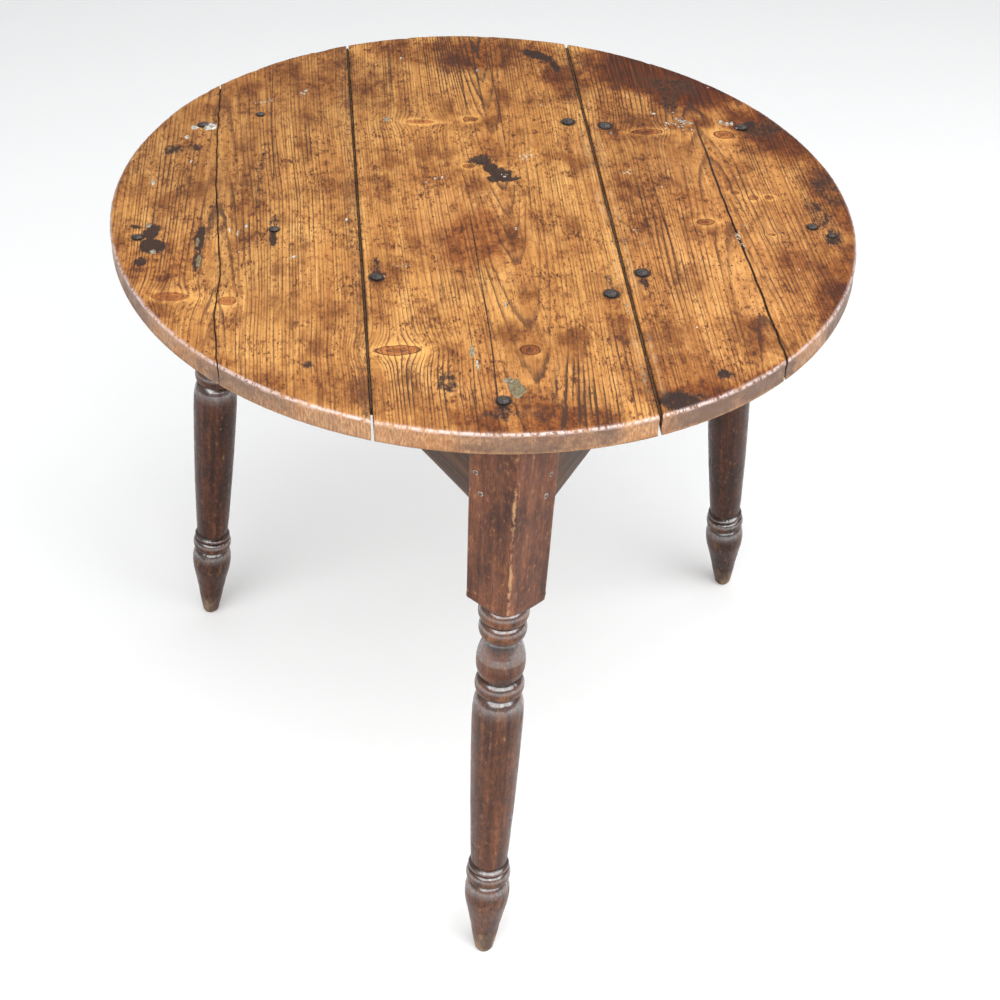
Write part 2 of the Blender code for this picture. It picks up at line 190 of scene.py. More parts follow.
def plank_grid(left, right):
    """(x, y) of a board that crosses the top between two edges."""
    width = float(right(0.0) - left(0.0))
    part = spread(width, round(width / CELL)) / width
    front = np.array([meet_rim(lambda y, u=u: left(y) + u * (right(y) - left(y)), -1) for u in part])
    back = np.array([meet_rim(lambda y, u=u: left(y) + u * (right(y) - left(y)), 1) for u in part])
    length = back - front
    y = front[:, None] + spread(length, round(float(length.mean()) / CELL))
    x = left(y) + part[:, None] * (right(y) - left(y))
    return x, y


def segment_grid(chord, side):
    """(x, y) of the outermost board, between a chord and the rim."""
    ends = [meet_rim(chord, end) for end in (-1, 1)]
    angles = [math.atan2(y, side * chord(y)) for y in ends]
    turns = np.linspace(
        angles[0] + 0.0006, angles[1] - 0.0006, round((angles[1] - angles[0]) * TOP_RADIUS / CELL)
    )
    azimuth = turns if side > 0 else math.pi - turns
    rim_x, y = rim_radius(azimuth) * np.cos(azimuth), rim_radius(azimuth) * np.sin(azimuth)
    width = side * (rim_x - chord(y))
    x = chord(y)[:, None] + side * spread(width, round(float(width.max()) / CELL))
    x, y = x.T, np.broadcast_to(y, x.T.shape)
    return (x, y) if side > 0 else (x[::-1], y[::-1])


# Knots: x, y, half width, half length (mm), turn, and how dark they are
KNOTS = (
    (-296, -160, 21, 7.5, -4, 0.35),
    (-243, -168, 8, 7, 0, 0.5),
    (-59, 169, 18, 5.0, -3, 0.35),
    (-5, 174, 7.5, 5.0, 0, 0.9),
    (-88, -249, 25, 8.0, 2, 0.75),
    (-11, 75, 6, 4, 0, 0.95),
    (181, 145, 20, 6.0, 2, 1.0),
    (262, 138, 10, 8.5, -8, 0.75),
    (218, -37, 8.5, 5.5, 4, 1.0),
    (30, -251, 9.0, 7.5, -6, 0.85),
    (256, 19, 4.5, 4.0, 0, 0.6),
    (273, 9, 5.0, 4.5, 0, 0.9),
    (289, 9, 4.5, 4.0, 0, 0.9),
    (280, -61, 5.5, 2.2, 0, 0.7),
)

# Nails: name, place, head radius (mm), length (mm), and how far the point leans out (mm)
NAILS = (
    ("nail_front_leg", (2, -325), 6.0, 55, (0, 0)),
    ("nail_left_leg", (-287, 166), 5.0, 55, (0, 0)),
    ("nail_right_leg", (284, 155), 6.0, 55, (0, 0)),
    ("nail_left_rail", (-106, -129), 6.4, 55, (-6.6, -3.8)),
    ("nail_right_rail_centre_board", (112, -161), 6.6, 55, (0, 0)),
    ("nail_right_rail_side_board", (145, -126), 6.6, 55, (0, 0)),
    ("nail_back_rail_centre_board", (99, 169), 6.6, 55, (0, 0)),
    ("nail_back_rail_right_board", (138, 160), 6.6, 55, (0, 7.0)),
    ("nail_back_rail_left_board", (-228, 188), 4.2, 55, (0, 0)),
    ("nail_batten_left", (-205, -43), 4.8, 36, (0, 0)),
    ("nail_batten_left_end", (-335, -56), 5.0, 36, (0, 0)),
    ("nail_batten_right", (323, -46), 5.2, 36, (0, 0)),
    ("nail_batten_right_end", (339, -63), 3.8, 36, (0, 0)),
)

# Stains: x, y, half width, half length (mm), turn, amount
BROWN_STAINS = (
    (225, 262, 116, 68, -28, 1.45),
    (318, 150, 60, 75, 35, 1.15),
    (362, 20, 34, 130, 0, 0.9),
    (165, 300, 60, 45, -15, 0.9),
    (150, 215, 26, 60, 0, 0.7),
    (-240, 230, 120, 60, 25, 0.35),
    (-180, 290, 80, 60, 0, 0.5),
    (-330, 120, 40, 90, 12, 0.35),
    (0, 325, 120, 44, 0, 0.80),
    (-10, -62, 42, 78, 5, 0.80),
    (-40, 62, 52, 36, 10, 0.55),
    (10, 115, 26, 40, 0, 0.45),
    (52, -10, 32, 58, 0, 0.28),
    (96, 52, 34, 30, 0, 0.20),
    (82, -92, 36, 26, 0, 0.40),
    (110, -190, 18, 46, 4, 0.55),
    (-95, -150, 16, 60, 0, 0.45),
    (-60, -205, 26, 30, 0, 0.35),
    (22, -215, 22, 20, 0, 0.50),
    (-298, -40, 34, 60, 0, 0.45),
    (-230, -20, 24, 62, 0, 0.50),
    (-222, 60, 30, 60, 0, 0.35),
    (-150, 20, 18, 110, 0, 0.40),
    (165, -30, 24, 52, 0, 0.55),
    (205, 6, 24, 24, 0, 0.50),
    (262, 60, 30, 42, 0, 0.40),
    (20, -335, 110, 26, 0, 0.45),
    (-110, -300, 20, 40, 0, 0.45),
    (150, -250, 20, 60, 0, 0.40),
    (300, -130, 46, 70, 25, 0.35),
    (176, -322, 64, 26, 14, 0.9),
    (160, -300, 64, 50, 20, 0.62),
    (232, -236, 48, 54, 40, 0.50),
    (300, -140, 34, 60, 10, 0.55),
    (-318, -120, 44, 74, -18, 0.65),
    (-215, -288, 70, 22, -34, 0.60),
    (-256, -222, 26, 40, -30, 0.35),
    (-160, -296, 60, 30, -20, 0.45),
    (236, -312, 100, 28, 37, 1.0),
    (330, -150, 30, 110, -24, 0.80),
    (20, -350, 96, 28, 0, 0.85),
    (112, 262, 34, 60, 0, 0.85),
    (150, 150, 40, 50, 0, 0.60),
    (216, 168, 60, 24, 0, 0.55),
    (150, 50, 30, 70, 0, 0.55),
    (-150, 262, 60, 70, 0, 0.55),
    (-120, 60, 20, 80, 0, 0.35),
    (-90, -48, 36, 60, 0, 0.30),
)
BLACK_STAINS = (
    (-322, -46, 9, 17, -6, 1.25),
    (-320, -72, 12, 15, 8, 1.25),
    (-329, -100, 7, 8, 0, 0.8),
    (-338, -38, 10, 4, -20, 0.8),
    (-275, -60, 5, 26, -3, 1.0),
    (-275, -98, 4, 18, 0, 0.9),
    (-315, 112, 11, 12, 0, 0.75),
    (-290, 117, 8, 8, 0, 0.6),
    (-205, -58, 3.5, 22, 0, 0.9),
    (-205, -28, 4.5, 14, 0, 0.7),
    (-222, 60, 3.0, 70, -2, 0.55),
    (78, 322, 9, 22, 52, 1.0),
    (95, 294, 5, 16, 12, 1.0),
    (-167, -269, 7, 7, 0, 0.8),
    (-45, -300, 10, 14, 0, 0.7),
    (158, -330, 26, 16, 8, 0.95),
    (199, -291, 8, 8, 0, 0.9),
    (308, 152, 34, 16, 30, 0.58),
    (292, 160, 15, 10, 20, 0.70),
    (334, -22, 14, 34, 12, 0.52),
    (352, 26, 18, 44, 8, 0.52),
    (340, -66, 9, 16, 0, 0.75),
    (212, 200, 10, 30, 0, 0.6),
    (220, 250, 40, 20, -20, 0.5),
    (0, 88, 16, 12, 20, 0.7),
    (-106, -112, 4, 20, 0, 0.6),
    (112, -140, 4, 14, 0, 0.6),
    (145, -143, 5, 12, 0, 0.6),
    (2, -340, 5, 18, 0, 0.8),
    (6, -345, 34, 7, 0, 0.5),
)
# Grime that lies in the grain and shows as dark stripes
GRIME_STAINS = (
    (62, -322, 50, 50, 0, 1.55),
    (100, -290, 24, 70, 0, 0.9),
    (24, -205, 10, 120, 0, 0.4),
    (-50, -300, 56, 50, 0, 0.7),
    (-5, 292, 56, 78, 0, 1.0),
    (50, 330, 34, 34, 0, 0.7),
    (-84, 250, 16, 120, 0, 0.4),
    (-220, 60, 60, 170, 0, 0.5),
    (-310, 0, 40, 120, 0, 0.5),
    (-190, -200, 60, 90, 0, 0.35),
    (200, 220, 70, 80, 0, 0.8),
    (175, -90, 40, 120, 0, 0.40),
    (300, 40, 60, 120, 0, 0.35),
    (300, -160, 50, 70, 0, 0.35),
)
# Broad washes of colour: redder where hands wore the wax, duller where it has gone
RED_WASH = (
    (250, -60, 120, 230, 10, 0.8),
    (190, -240, 90, 110, 0, 0.5),
    (300, 150, 110, 120, 30, 0.5),
    (-20, -30, 60, 90, 0, 0.7),
    (40, -300, 120, 60, 0, 0.4),
)
DULL_WASH = (
    (-300, 110, 90, 150, 20, 1.0),
    (-170, 230, 110, 120, 0, 0.9),
    (-230, -40, 40, 160, 0, 0.5),
    (180, 120, 60, 90, 0, 0.6),
    (-20, 320, 120, 50, 0, 0.6),
)
# Burnt gouge, as overlapping ovals
GOUGE = (
    (4, 86, 7, 7, 20),
    (10, 74, 8, 8, 30),
    (20, 62, 11, 10, 10),
    (22, 52, 13, 7, 0),
    (33, 50, 9, 4.5, 20),
    (14, 48, 6, 4, 0),
)


def gouge_depth(x, y):
    jog = 0.30 * noise(x * 260, y * 260, 61)
    return sum(ease(oval_distance(x, y, oval) + jog, 1.25, 0.55) for oval in GOUGE).clip(0, 1)


def grain_paths(x, y):
    """The across-grain coordinate of the fibre through each point.

    Fibres part and close again round the knots.
    """
    across = x + 0.035 * y + 0.0016 * noise(x * 14, y * 5, 11) + 0.0005 * noise(x * 60, y * 12, 12)
    for cx, cy, wide, tall, turn, _ in KNOTS:
        reach = np.maximum(oval_distance(x, y, (cx, cy, wide * 1.05, tall * 2.3, turn)), 0.6)
        across = across - (x - cx * MM) * 0.62 / (1 + reach**3)
    return across


def knot_marks(x, y):
    """The nearest knot's distance (1 on its edge) and its darkness."""
    nearest = np.full(np.shape(x), 4.0)
    dark = np.zeros(np.shape(x))
    for cx, cy, wide, tall, turn, tone in KNOTS:
        pointed = 0.30 * np.clip(np.abs(x / MM - cx) / wide, 0, 1) if wide > 2 * tall else 0
        away = oval_distance(
            x, y, (cx, cy, wide, tall, turn)
        ) * (1 + pointed) + 0.07 * noise(x * 240, y * 240, 21)
        dark = np.where(away < nearest, tone, dark)
        nearest = np.minimum(nearest, away)
    return nearest, dark


def stain_amount(x, y, stains, seed):
    total = np.zeros(np.shape(x))
    jog = 0.34 * cloud(x * 34, y * 22, seed, 4)
    for stain in stains:
        total = np.maximum(total, stain[5] * ease(oval_distance(x, y, stain[:5]) + jog, 1.35, 0.45))
    return total


def nail_dent(x, y):
    dent = np.zeros(np.shape(x))
    for _, (cx, cy), head, _, _ in NAILS:
        away = oval_distance(x, y, (cx, cy, head, head, 0))
        dent = np.maximum(dent, ease(away, 1.9, 0.95))
    return dent


# Boards: where the heart of the tree lay (sideways, and below the top), and how it tilts along the board
BOARDS = {
    "left": (-0.262, 0.030, 0.03, 3),
    "centre": (0.022, 0.036, -0.05, 7),
    "right": (0.238, 0.042, 0.045, 9),
}


def ring_place(x, y, z, across, board):
    """Distance from the heart of the tree, counted in growth rings."""
    heart, deep, tilt, seed = BOARDS[board]
    below = deep + tilt * y + (z - HEIGHT) + 0.004 * noise(x * 6, y * 3, seed)
    radius = np.sqrt((across - heart) ** 2 + below**2)
    return radius / RING_WIDTH + 0.9 * noise(
        radius * 70, y * 1.2, seed + 1
    ) + 0.35 * noise(x * 30, y * 9, seed + 2)


def joint_distances(x, y):
    return {
        "left": x - joint_left(y),
        "right": x - joint_right(y),
        "split": x - split_x(y),
        "crack": x - crack_x(y),
    }


def edge_drop(away, radius):
    inside = np.clip(radius - away, 0, None)
    return radius - np.sqrt(np.maximum(radius**2 - np.minimum(inside, radius) ** 2, 0))


def rim_distance(x, y):
    return rim_radius(np.arctan2(y, x)) - np.hypot(x, y)


def top_level(x, y):
    """Height of the worn top surface."""
    away = joint_distances(x, y)
    azimuth = np.arctan2(y, x)
    rim_round = 0.0036 + 0.0010 * noise(azimuth * 7, 0, 31) + 0.0004 * noise(azimuth * 60, 0, 32)
    drop = edge_drop(np.maximum(rim_distance(x, y), 0), rim_round)
    worn = 0.0013 + 0.0009 * noise(y * 22, x * 4, 33)
    for name, gap in (("left", LEFT_GAP), ("right", RIGHT_GAP), ("split", SPLIT_GAP)):
        drop = np.maximum(
            drop, edge_drop(np.maximum(np.abs(away[name]) - gap, 0), worn if gap > 0.001 else worn * 0.7)
        )
    closing = np.clip(crack_width(y) / 0.0012, 0.02, 1)
    drop = np.maximum(
        drop, edge_drop(np.maximum(np.abs(away["crack"]) - crack_width(y) / 2, 0), 0.0009 * closing)
    )
    hollow = 0.00040 * (1 + cloud(x * 7, y * 5, 35)) * (0.35 + 0.65 * ease(rim_distance(x, y), 0.0, 0.06))
    dents = 0.0006 * ease(cloud(x * 55, y * 38, 36), 0.34, 0.62)
    deep = 0.0013 * nail_dent(x, y) + 0.0022 * gouge_depth(x, y)
    knot, _ = knot_marks(x, y)
    swell = 0.00025 * ease(knot, 1.5, 0.9)
    return HEIGHT - np.maximum(drop, 0) - hollow - dents - deep + swell


def under_level(x, y):
    away = joint_distances(x, y)
    drop = edge_drop(np.maximum(rim_distance(x, y), 0), 0.0010)
    for name, gap in (("left", LEFT_GAP), ("right", RIGHT_GAP)):
        drop = np.maximum(drop, edge_drop(np.maximum(np.abs(away[name]) - gap, 0), 0.0008))
    saw = 0.00008 * (1 + np.sin(y * 900 + x * 60 + 2 * noise(x * 8, y * 9, 41)))
    return UNDERSIDE + 0.00005 + drop + saw + 0.00008 * (1 + noise(x * 12, y * 12, 42))


def board_solid(x, y):
    """Points and faces of a closed board on a grid: top, rounded edges, sides and underside."""
    rows, columns = x.shape
    count = rows * columns
    flat_x, flat_y = x.ravel(), y.ravel()
    top = np.stack([flat_x, flat_y, top_level(flat_x, flat_y)], -1)
    under = np.stack([flat_x, flat_y, under_level(flat_x, flat_y)], -1)
    loop = border(rows, columns)
    points, faces = [top], grid_faces(rows, columns)
    previous, levels = loop, 7
    for step in range(1, levels):
        part = step / levels
        ring = top[loop] * (1 - part) + under[loop] * part
        azimuth = np.arctan2(ring[:, 1], ring[:, 0])
        on_rim = ease(rim_distance(ring[:, 0], ring[:, 1]), 0.002, 0.0)
        chop = 0.00025 * (1 + noise(azimuth * 30, ring[:, 2] * 300, 51)) + 0.00018 * (
            1 + noise(azimuth * 170, ring[:, 2] * 120, 52)
        )
        ring[:, :2] *= 1 - (on_rim * chop / TOP_RADIUS)[:, None]
        current = count + (step - 1) * len(loop) + np.arange(len(loop))
        points.append(ring)
        faces += band_faces(current, previous)
        previous = current
    start = count + (levels - 1) * len(loop)
    faces += band_faces(start + loop, previous)
    faces += grid_faces(rows, columns, start, flip=True)
    points.append(under)
    return np.concatenate(points), faces


def board_attributes(points, board):
    x, y, z = points.T
    away = joint_distances(x, y)
    across = grain_paths(x, y)
    knot, dark = knot_marks(x, y)
    depth = HEIGHT - z
    under = ease(depth, 0.0205, 0.0220)
    above = ease(depth, 0.006, 0.003)
    rim = ease(rim_distance(x, y), 0.0026, 0.0004)
    patchy = 0.5 + 0.5 * noise(y * 26, x * 7, 71)
    band = np.exp(-(((away["left"] + 0.0050) / 0.0060) ** 2)) * (0.55 + 0.45 * patchy)
    band = np.maximum(band, 0.85 * patchy * np.exp(-((away["right"] / 0.013) ** 2)) * ease(y, -0.05, 0.12))
    band = np.maximum(band, 0.7 * patchy * np.exp(-((away["split"] / 0.008) ** 2)))
    dirt = 0.62 * np.exp(-((away["left"] / 0.0021) ** 2))
    dirt = np.maximum(dirt, 0.55 * np.exp(-((away["right"] / 0.0017) ** 2)))
    dirt = np.maximum(dirt, np.exp(-((away["split"] / 0.0015) ** 2)) * (0.50 + 0.45 * noise(y * 16, 0, 72)))
    dirt = np.maximum(dirt, np.exp(-((away["crack"] / 0.0018) ** 2)) * ease(y, 0.30, 0.10))
    dirt = np.maximum(dirt, 0.95 * nail_dent(x, y))
    pale = np.exp(
        -(((np.abs(away["right"]) - 0.0068) / 0.0028) ** 2)
    ) * ease(noise(y * 20, x * 9, 73), -0.3, 0.5)
    pale = pale * ease(y, 0.20, 0.05)
    brown = stain_amount(x, y, BROWN_STAINS, 81) * np.maximum(above, rim * (1 - under))
    black = np.maximum(stain_amount(x, y, BLACK_STAINS, 85), 1.6 * gouge_depth(x, y))
    grime = stain_amount(x, y, GRIME_STAINS, 88)
    ring = ring_place(x, y, z, across, board)
    # arris marks the rim's top edge, where the shader paints a highlight
    arris = ease(rim_distance(x, y), 0.0028, 0.0012) * ease(depth, 0.0036, 0.0020)
    arc = np.arctan2(y, x) * TOP_RADIUS
    red = stain_amount(x, y, RED_WASH, 91)
    dull = stain_amount(x, y, DULL_WASH, 95)
    return {
        "edge": np.stack([arris, arc, band * above], -1),
        "wash": np.stack([red, dull, np.zeros(len(x))], -1),
        "grain": np.stack([ring, across, z], -1),
        "knot": np.stack([knot, dark, pale * above], -1),
        "stain": np.stack([brown, black * above, grime * above], -1),
        "place": np.stack([under, rim, dirt * np.maximum(above, 0.6)], -1),
    }


# ---- materials ----


def tone(red, green, blue):
    """A colour given in screen values, as the linear one that a shader takes."""
    linear = [
        (c / 255 / 12.92) if c <= 10 else ((c / 255 + 0.055) / 1.055) ** 2.4 for c in (red, green, blue)
    ]
    return (*linear, 1.0)


def grey(level):
    return (level, level, level, 1.0)


class Shader:
    """A material's node tree, built with one call for each node."""

    def __init__(self, name):
        self.material = bpy.data.materials.new(name)
        self.material.use_nodes = True
        self.tree = self.material.node_tree
        self.tree.nodes.clear()

    def node(self, kind, sockets, out=0, **settings):
        made = self.tree.nodes.new(kind)
        for key, value in settings.items():
            setattr(made, key, value)
        for socket, value in sockets.items():
            if isinstance(value, bpy.types.NodeSocket):
                self.tree.links.new(value, made.inputs[socket])
            else:
                made.inputs[socket].default_value = value
        return made.outputs[out]

    def attribute(self, name):
        whole = self.node("ShaderNodeAttribute", {}, 1, attribute_name=name)
        parts = self.tree.nodes.new("ShaderNodeSeparateXYZ")
        self.tree.links.new(whole, parts.inputs[0])
        return whole, parts.outputs[0], parts.outputs[1], parts.outputs[2]

    def math(self, operation, a, b=0.0, clamp=False):
        return self.node("ShaderNodeMath", {0: a, 1: b}, operation=operation, use_clamp=clamp)

    def add(self, a, b):
        return self.math("ADD", a, b)

    def times(self, a, b):
        return self.math("MULTIPLY", a, b)

    def swing(self, value, amount):
        """A noise, moved to lie about nought and scaled."""
        return self.times(self.add(value, -0.5), amount)

    def most(self, a, b):
        return self.math("MAXIMUM", a, b)

    def stretch(self, vector, scale):
        return self.node("ShaderNodeVectorMath", {0: vector, 1: scale}, operation="MULTIPLY")

    def noise(self, vector, scale, detail=2.0, rough=0.5, warp=0.0):
        sockets = {"Vector": self.stretch(vector, scale), "Scale": 1.0, "Detail": detail, "Roughness": rough}
        sockets["Distortion"] = warp
        return self.node("ShaderNodeTexNoise", sockets)

    def cells(self, vector, scale, out=0):
        sockets = {"Vector": self.stretch(vector, scale), "Scale": 1.0}
        return self.node("ShaderNodeTexVoronoi", sockets, out)

    def span(self, value, low, high, to_low=0.0, to_high=1.0):
        sockets = {0: value, 1: low, 2: high, 3: to_low, 4: to_high}
        return self.node("ShaderNodeMapRange", sockets, interpolation_type="SMOOTHSTEP")

    def mix(self, factor, a, b, blend="MIX"):
        sockets = {0: factor, 6: a, 7: b}
        return self.node("ShaderNodeMix", sockets, 2, data_type="RGBA", blend_type=blend)

    def tint(self, colour, by):
        return self.mix(1.0, colour, by, "MULTIPLY")

    def ramp(self, value, stops):
        made = self.tree.nodes.new("ShaderNodeValToRGB")
        self.tree.links.new(value, made.inputs[0])
        elements = made.color_ramp.elements
        for place, colour in stops[2:]:
            elements.new(place)
        for element, (place, colour) in zip(elements, sorted(stops, key=lambda stop: stop[0])):
            element.position = place
            element.color = colour
        return made.outputs[0]

    def bump(self, height, strength, distance, normal=None):
        sockets = {"Height": height, "Strength": strength, "Distance": distance}
        if normal:
            sockets["Normal"] = normal
        return self.node("ShaderNodeBump", sockets)

    def finish(self, **sockets):
        names = {key.replace("_", " "): value for key, value in sockets.items()}
        shader = self.node("ShaderNodeBsdfPrincipled", names)
        output = self.tree.nodes.new("ShaderNodeOutputMaterial")
        self.tree.links.new(shader, output.inputs[0])
        return self.material


# Cracks and dark grain lines in the top, in metres:
# grain coordinate, front end, back end, half width, darkness
LINES = (
    (-0.0145, -0.330, -0.010, 0.00060, 0.95),
    (-0.0330, -0.335, -0.190, 0.00055, 0.80),
    (-0.0790, 0.225, 0.360, 0.00060, 0.75),
    (0.0170, 0.185, 0.352, 0.00090, 0.80),
    (-0.0010, 0.190, 0.345, 0.00100, 0.75),
    (0.0330, 0.110, 0.330, 0.00060, 0.70),
    (-0.2080, 0.040, 0.300, 0.00055, 0.75),
    (0.1760, -0.130, 0.080, 0.00060, 0.75),
    (0.1600, -0.060, 0.070, 0.00070, 0.70),
    (0.2500, 0.150, 0.260, 0.00090, 0.60),
)


def pine_material():
    s = Shader("pine_boards")
    _, ring, across, level = s.attribute("grain")
    _, knot, knot_dark, pale = s.attribute("knot")
    _, brown, black, grime = s.attribute("stain")
    _, under, rim, dirt = s.attribute("place")
    _, arris, arc, band = s.attribute("edge")
    _, red, dull, _ = s.attribute("wash")
    where = s.node("ShaderNodeNewGeometry", {})
    parts = s.tree.nodes.new("ShaderNodeSeparateXYZ")
    s.tree.links.new(where, parts.inputs[0])
    along = parts.outputs[1]
    fibre = s.node("ShaderNodeCombineXYZ", {0: across, 1: along, 2: level})
    by_ring = s.node("ShaderNodeCombineXYZ", {0: ring, 1: along})

    hair = s.noise(fibre, (1300, 24, 700), 3.0, 0.62)
    fine = s.noise(fibre, (460, 11, 300), 3.0, 0.60)
    streak = s.noise(fibre, (170, 3.4, 120), 4.0, 0.6)
    each_ring = s.noise(by_ring, (0.85, 5.0, 1.0), 2.0, 0.5)
    broad = s.noise(where, (15, 8, 15), 4.0, 0.62)
    blotch = s.noise(where, (46, 34, 46), 7.0, 0.74)
    mottle = s.noise(where, (230, 150, 230), 5.0, 0.74)
    dashes = s.noise(fibre, (560, 150, 560), 3.0, 0.62)

    wobble = s.swing(streak, 0.55)
    phase = s.math("FRACT", s.add(ring, wobble))
    late = s.ramp(
        phase,
        [
            (0.0, grey(0.10)),
            (0.36, grey(0.0)),
            (0.68, grey(0.45)),
            (0.86, grey(1.0)),
            (0.96, grey(0.8)),
            (1.0, grey(0.10)),
        ],
    )
    colour = s.ramp(
        s.add(s.times(broad, 0.60), s.times(streak, 0.40)),
        [
            (0.30, tone(152, 97, 44)),
            (0.43, tone(184, 125, 62)),
            (0.54, tone(208, 151, 82)),
            (0.70, tone(229, 176, 106)),
        ],
    )
    colour = s.mix(s.times(red, 0.55), colour, s.tint(colour, tone(236, 218, 226)))
    colour = s.mix(s.times(dull, 0.60), colour, s.tint(colour, tone(206, 204, 206)))
    lines = s.times(late, s.span(each_ring, 0.30, 0.64, 0.18, 1.0))
    colour = s.mix(s.times(lines, 0.80), colour, tone(124, 74, 36))
    colour = s.mix(s.span(fine, 0.50, 0.70, 0.0, 0.60), colour, tone(124, 72, 34))
    colour = s.mix(s.span(fine, 0.42, 0.26, 0.0, 0.35), colour, tone(240, 194, 126))
    freckle = s.tint(colour, tone(186, 152, 116))
    freckled = s.add(s.add(mottle, s.swing(blotch, 0.5)), s.swing(dashes, 0.5))
    colour = s.mix(s.span(freckled, 0.46, 0.68, 0.0, 0.62), colour, freckle)
    colour = s.mix(s.span(hair, 0.50, 0.72, 0.0, 0.35), colour, tone(120, 72, 36))

    around = s.span(knot, 1.0, 2.6, 1.0, 0.0)
    colour = s.mix(s.times(around, 0.52), colour, tone(240, 178, 98))
    rings = s.math("SINE", s.times(s.math("POWER", knot, 0.7), 26.0))
    heart = s.mix(s.span(rings, -1.0, 1.0, 0.0, 0.75), tone(204, 128, 60), tone(122, 68, 32))
    heart = s.mix(s.times(knot_dark, s.span(knot, 0.80, 0.10, 0.0, 0.80)), heart, tone(84, 46, 26))
    heart = s.mix(s.span(mottle, 0.52, 0.66, 0.0, 0.7), heart, tone(92, 52, 28))
    colour = s.mix(s.span(knot, 1.04, 0.94), colour, heart)
    edge = s.times(s.span(knot, 0.80, 0.96), s.span(knot, 1.14, 1.00))
    colour = s.mix(s.times(edge, s.span(knot_dark, 0.3, 0.9, 0.50, 0.95)), colour, tone(72, 40, 24))

    patches = s.add(s.times(blotch, 0.80), s.times(mottle, 0.36))
    browned = s.add(s.times(brown, 0.98), s.times(s.add(patches, -0.585), 1.75))
    soaked = s.tint(colour, s.mix(mottle, tone(204, 168, 122), tone(162, 126, 84)))
    colour = s.mix(s.span(browned, 0.0, 1.0), colour, soaked)
    soaked = s.tint(colour, s.mix(s.span(fine, 0.36, 0.64), tone(188, 164, 136), tone(138, 114, 90)))
    colour = s.mix(s.span(browned, 0.55, 1.30), colour, soaked)
    worked_in = s.add(s.times(blotch, 0.9), s.swing(dashes, 1.1))
    soaked = s.tint(colour, tone(164, 122, 80))
    colour = s.mix(s.span(worked_in, 0.54, 0.86), colour, soaked)

    clouded = s.noise(where, (24, 15, 24), 5.0, 0.66)
    soaked = s.tint(colour, tone(168, 138, 104))
    colour = s.mix(s.span(clouded, 0.47, 0.67, 0.0, 0.85), colour, soaked)

    in_grain = s.add(s.add(s.times(lines, 0.72), s.times(fine, 0.60)), s.swing(mottle, 0.5))
    # Here the mask holds only the grime that lies in the grain.
    grime_and_shade = s.add(s.times(grime, 0.85), s.span(broad, 0.44, 0.66, 0.22, 0.66))
    grimed = s.times(grime_and_shade, s.span(s.add(in_grain, s.times(grime, 0.14)), 0.48, 0.95))
    colour = s.mix(s.times(s.math("MINIMUM", grimed, 1.0), 0.88), colour, tone(62, 40, 27))
    banded = s.times(band, s.span(s.add(mottle, s.swing(dashes, 0.8)), 0.34, 0.62))
    colour = s.mix(s.times(banded, 0.70), colour, tone(92, 66, 45))
    jagged = s.add(s.add(s.times(mottle, 0.7), s.times(blotch, 0.5)), s.times(dashes, 0.4))
    blacked = s.add(black, s.times(s.add(jagged, -0.80), 2.6))
    colour = s.mix(s.times(s.span(blacked, 0.05, 0.60), 0.62), colour, tone(84, 50, 32))
    colour = s.mix(s.times(s.span(blacked, 0.42, 0.74), 0.90), colour, tone(40, 26, 21))

    shade = None
    for place, front, back, half, dark in LINES:
        off = s.math("ABSOLUTE", s.add(s.add(across, -place), s.swing(streak, 0.0012)))
        line = s.span(off, half * 1.7, half * 0.6)
        ends = s.times(s.span(along, front - 0.02, front + 0.03), s.span(along, back + 0.03, back - 0.03))
        line = s.times(s.times(line, ends), dark)
        shade = s.most(shade, line) if shade else line
    colour = s.mix(s.times(shade, s.span(mottle, 0.30, 0.52, 0.45, 1.0)), colour, tone(44, 27, 19))

    dash = s.span(s.add(dashes, s.swing(blotch, 0.6)), 0.625, 0.715)
    colour = s.mix(s.times(dash, 0.80), colour, tone(78, 44, 25))
    dots = s.cells(where, (150, 120, 150))
    dot_pick = s.cells(where, (150, 120, 150), 1)
    dot = s.times(s.span(s.add(dots, s.swing(mottle, 0.25)), 0.19, 0.10), s.span(dot_pick, 0.76, 0.84))
    colour = s.mix(s.times(dot, 0.85), colour, tone(46, 28, 19))
    chips = s.cells(where, (64, 52, 64))
    chip_pick = s.cells(where, (64, 52, 64), 1)
    chip = s.times(s.span(s.add(chips, s.swing(mottle, 0.12)), 0.085, 0.05), s.span(chip_pick, 0.84, 0.88))
    colour = s.mix(s.times(chip, 0.75), colour, tone(222, 208, 188))

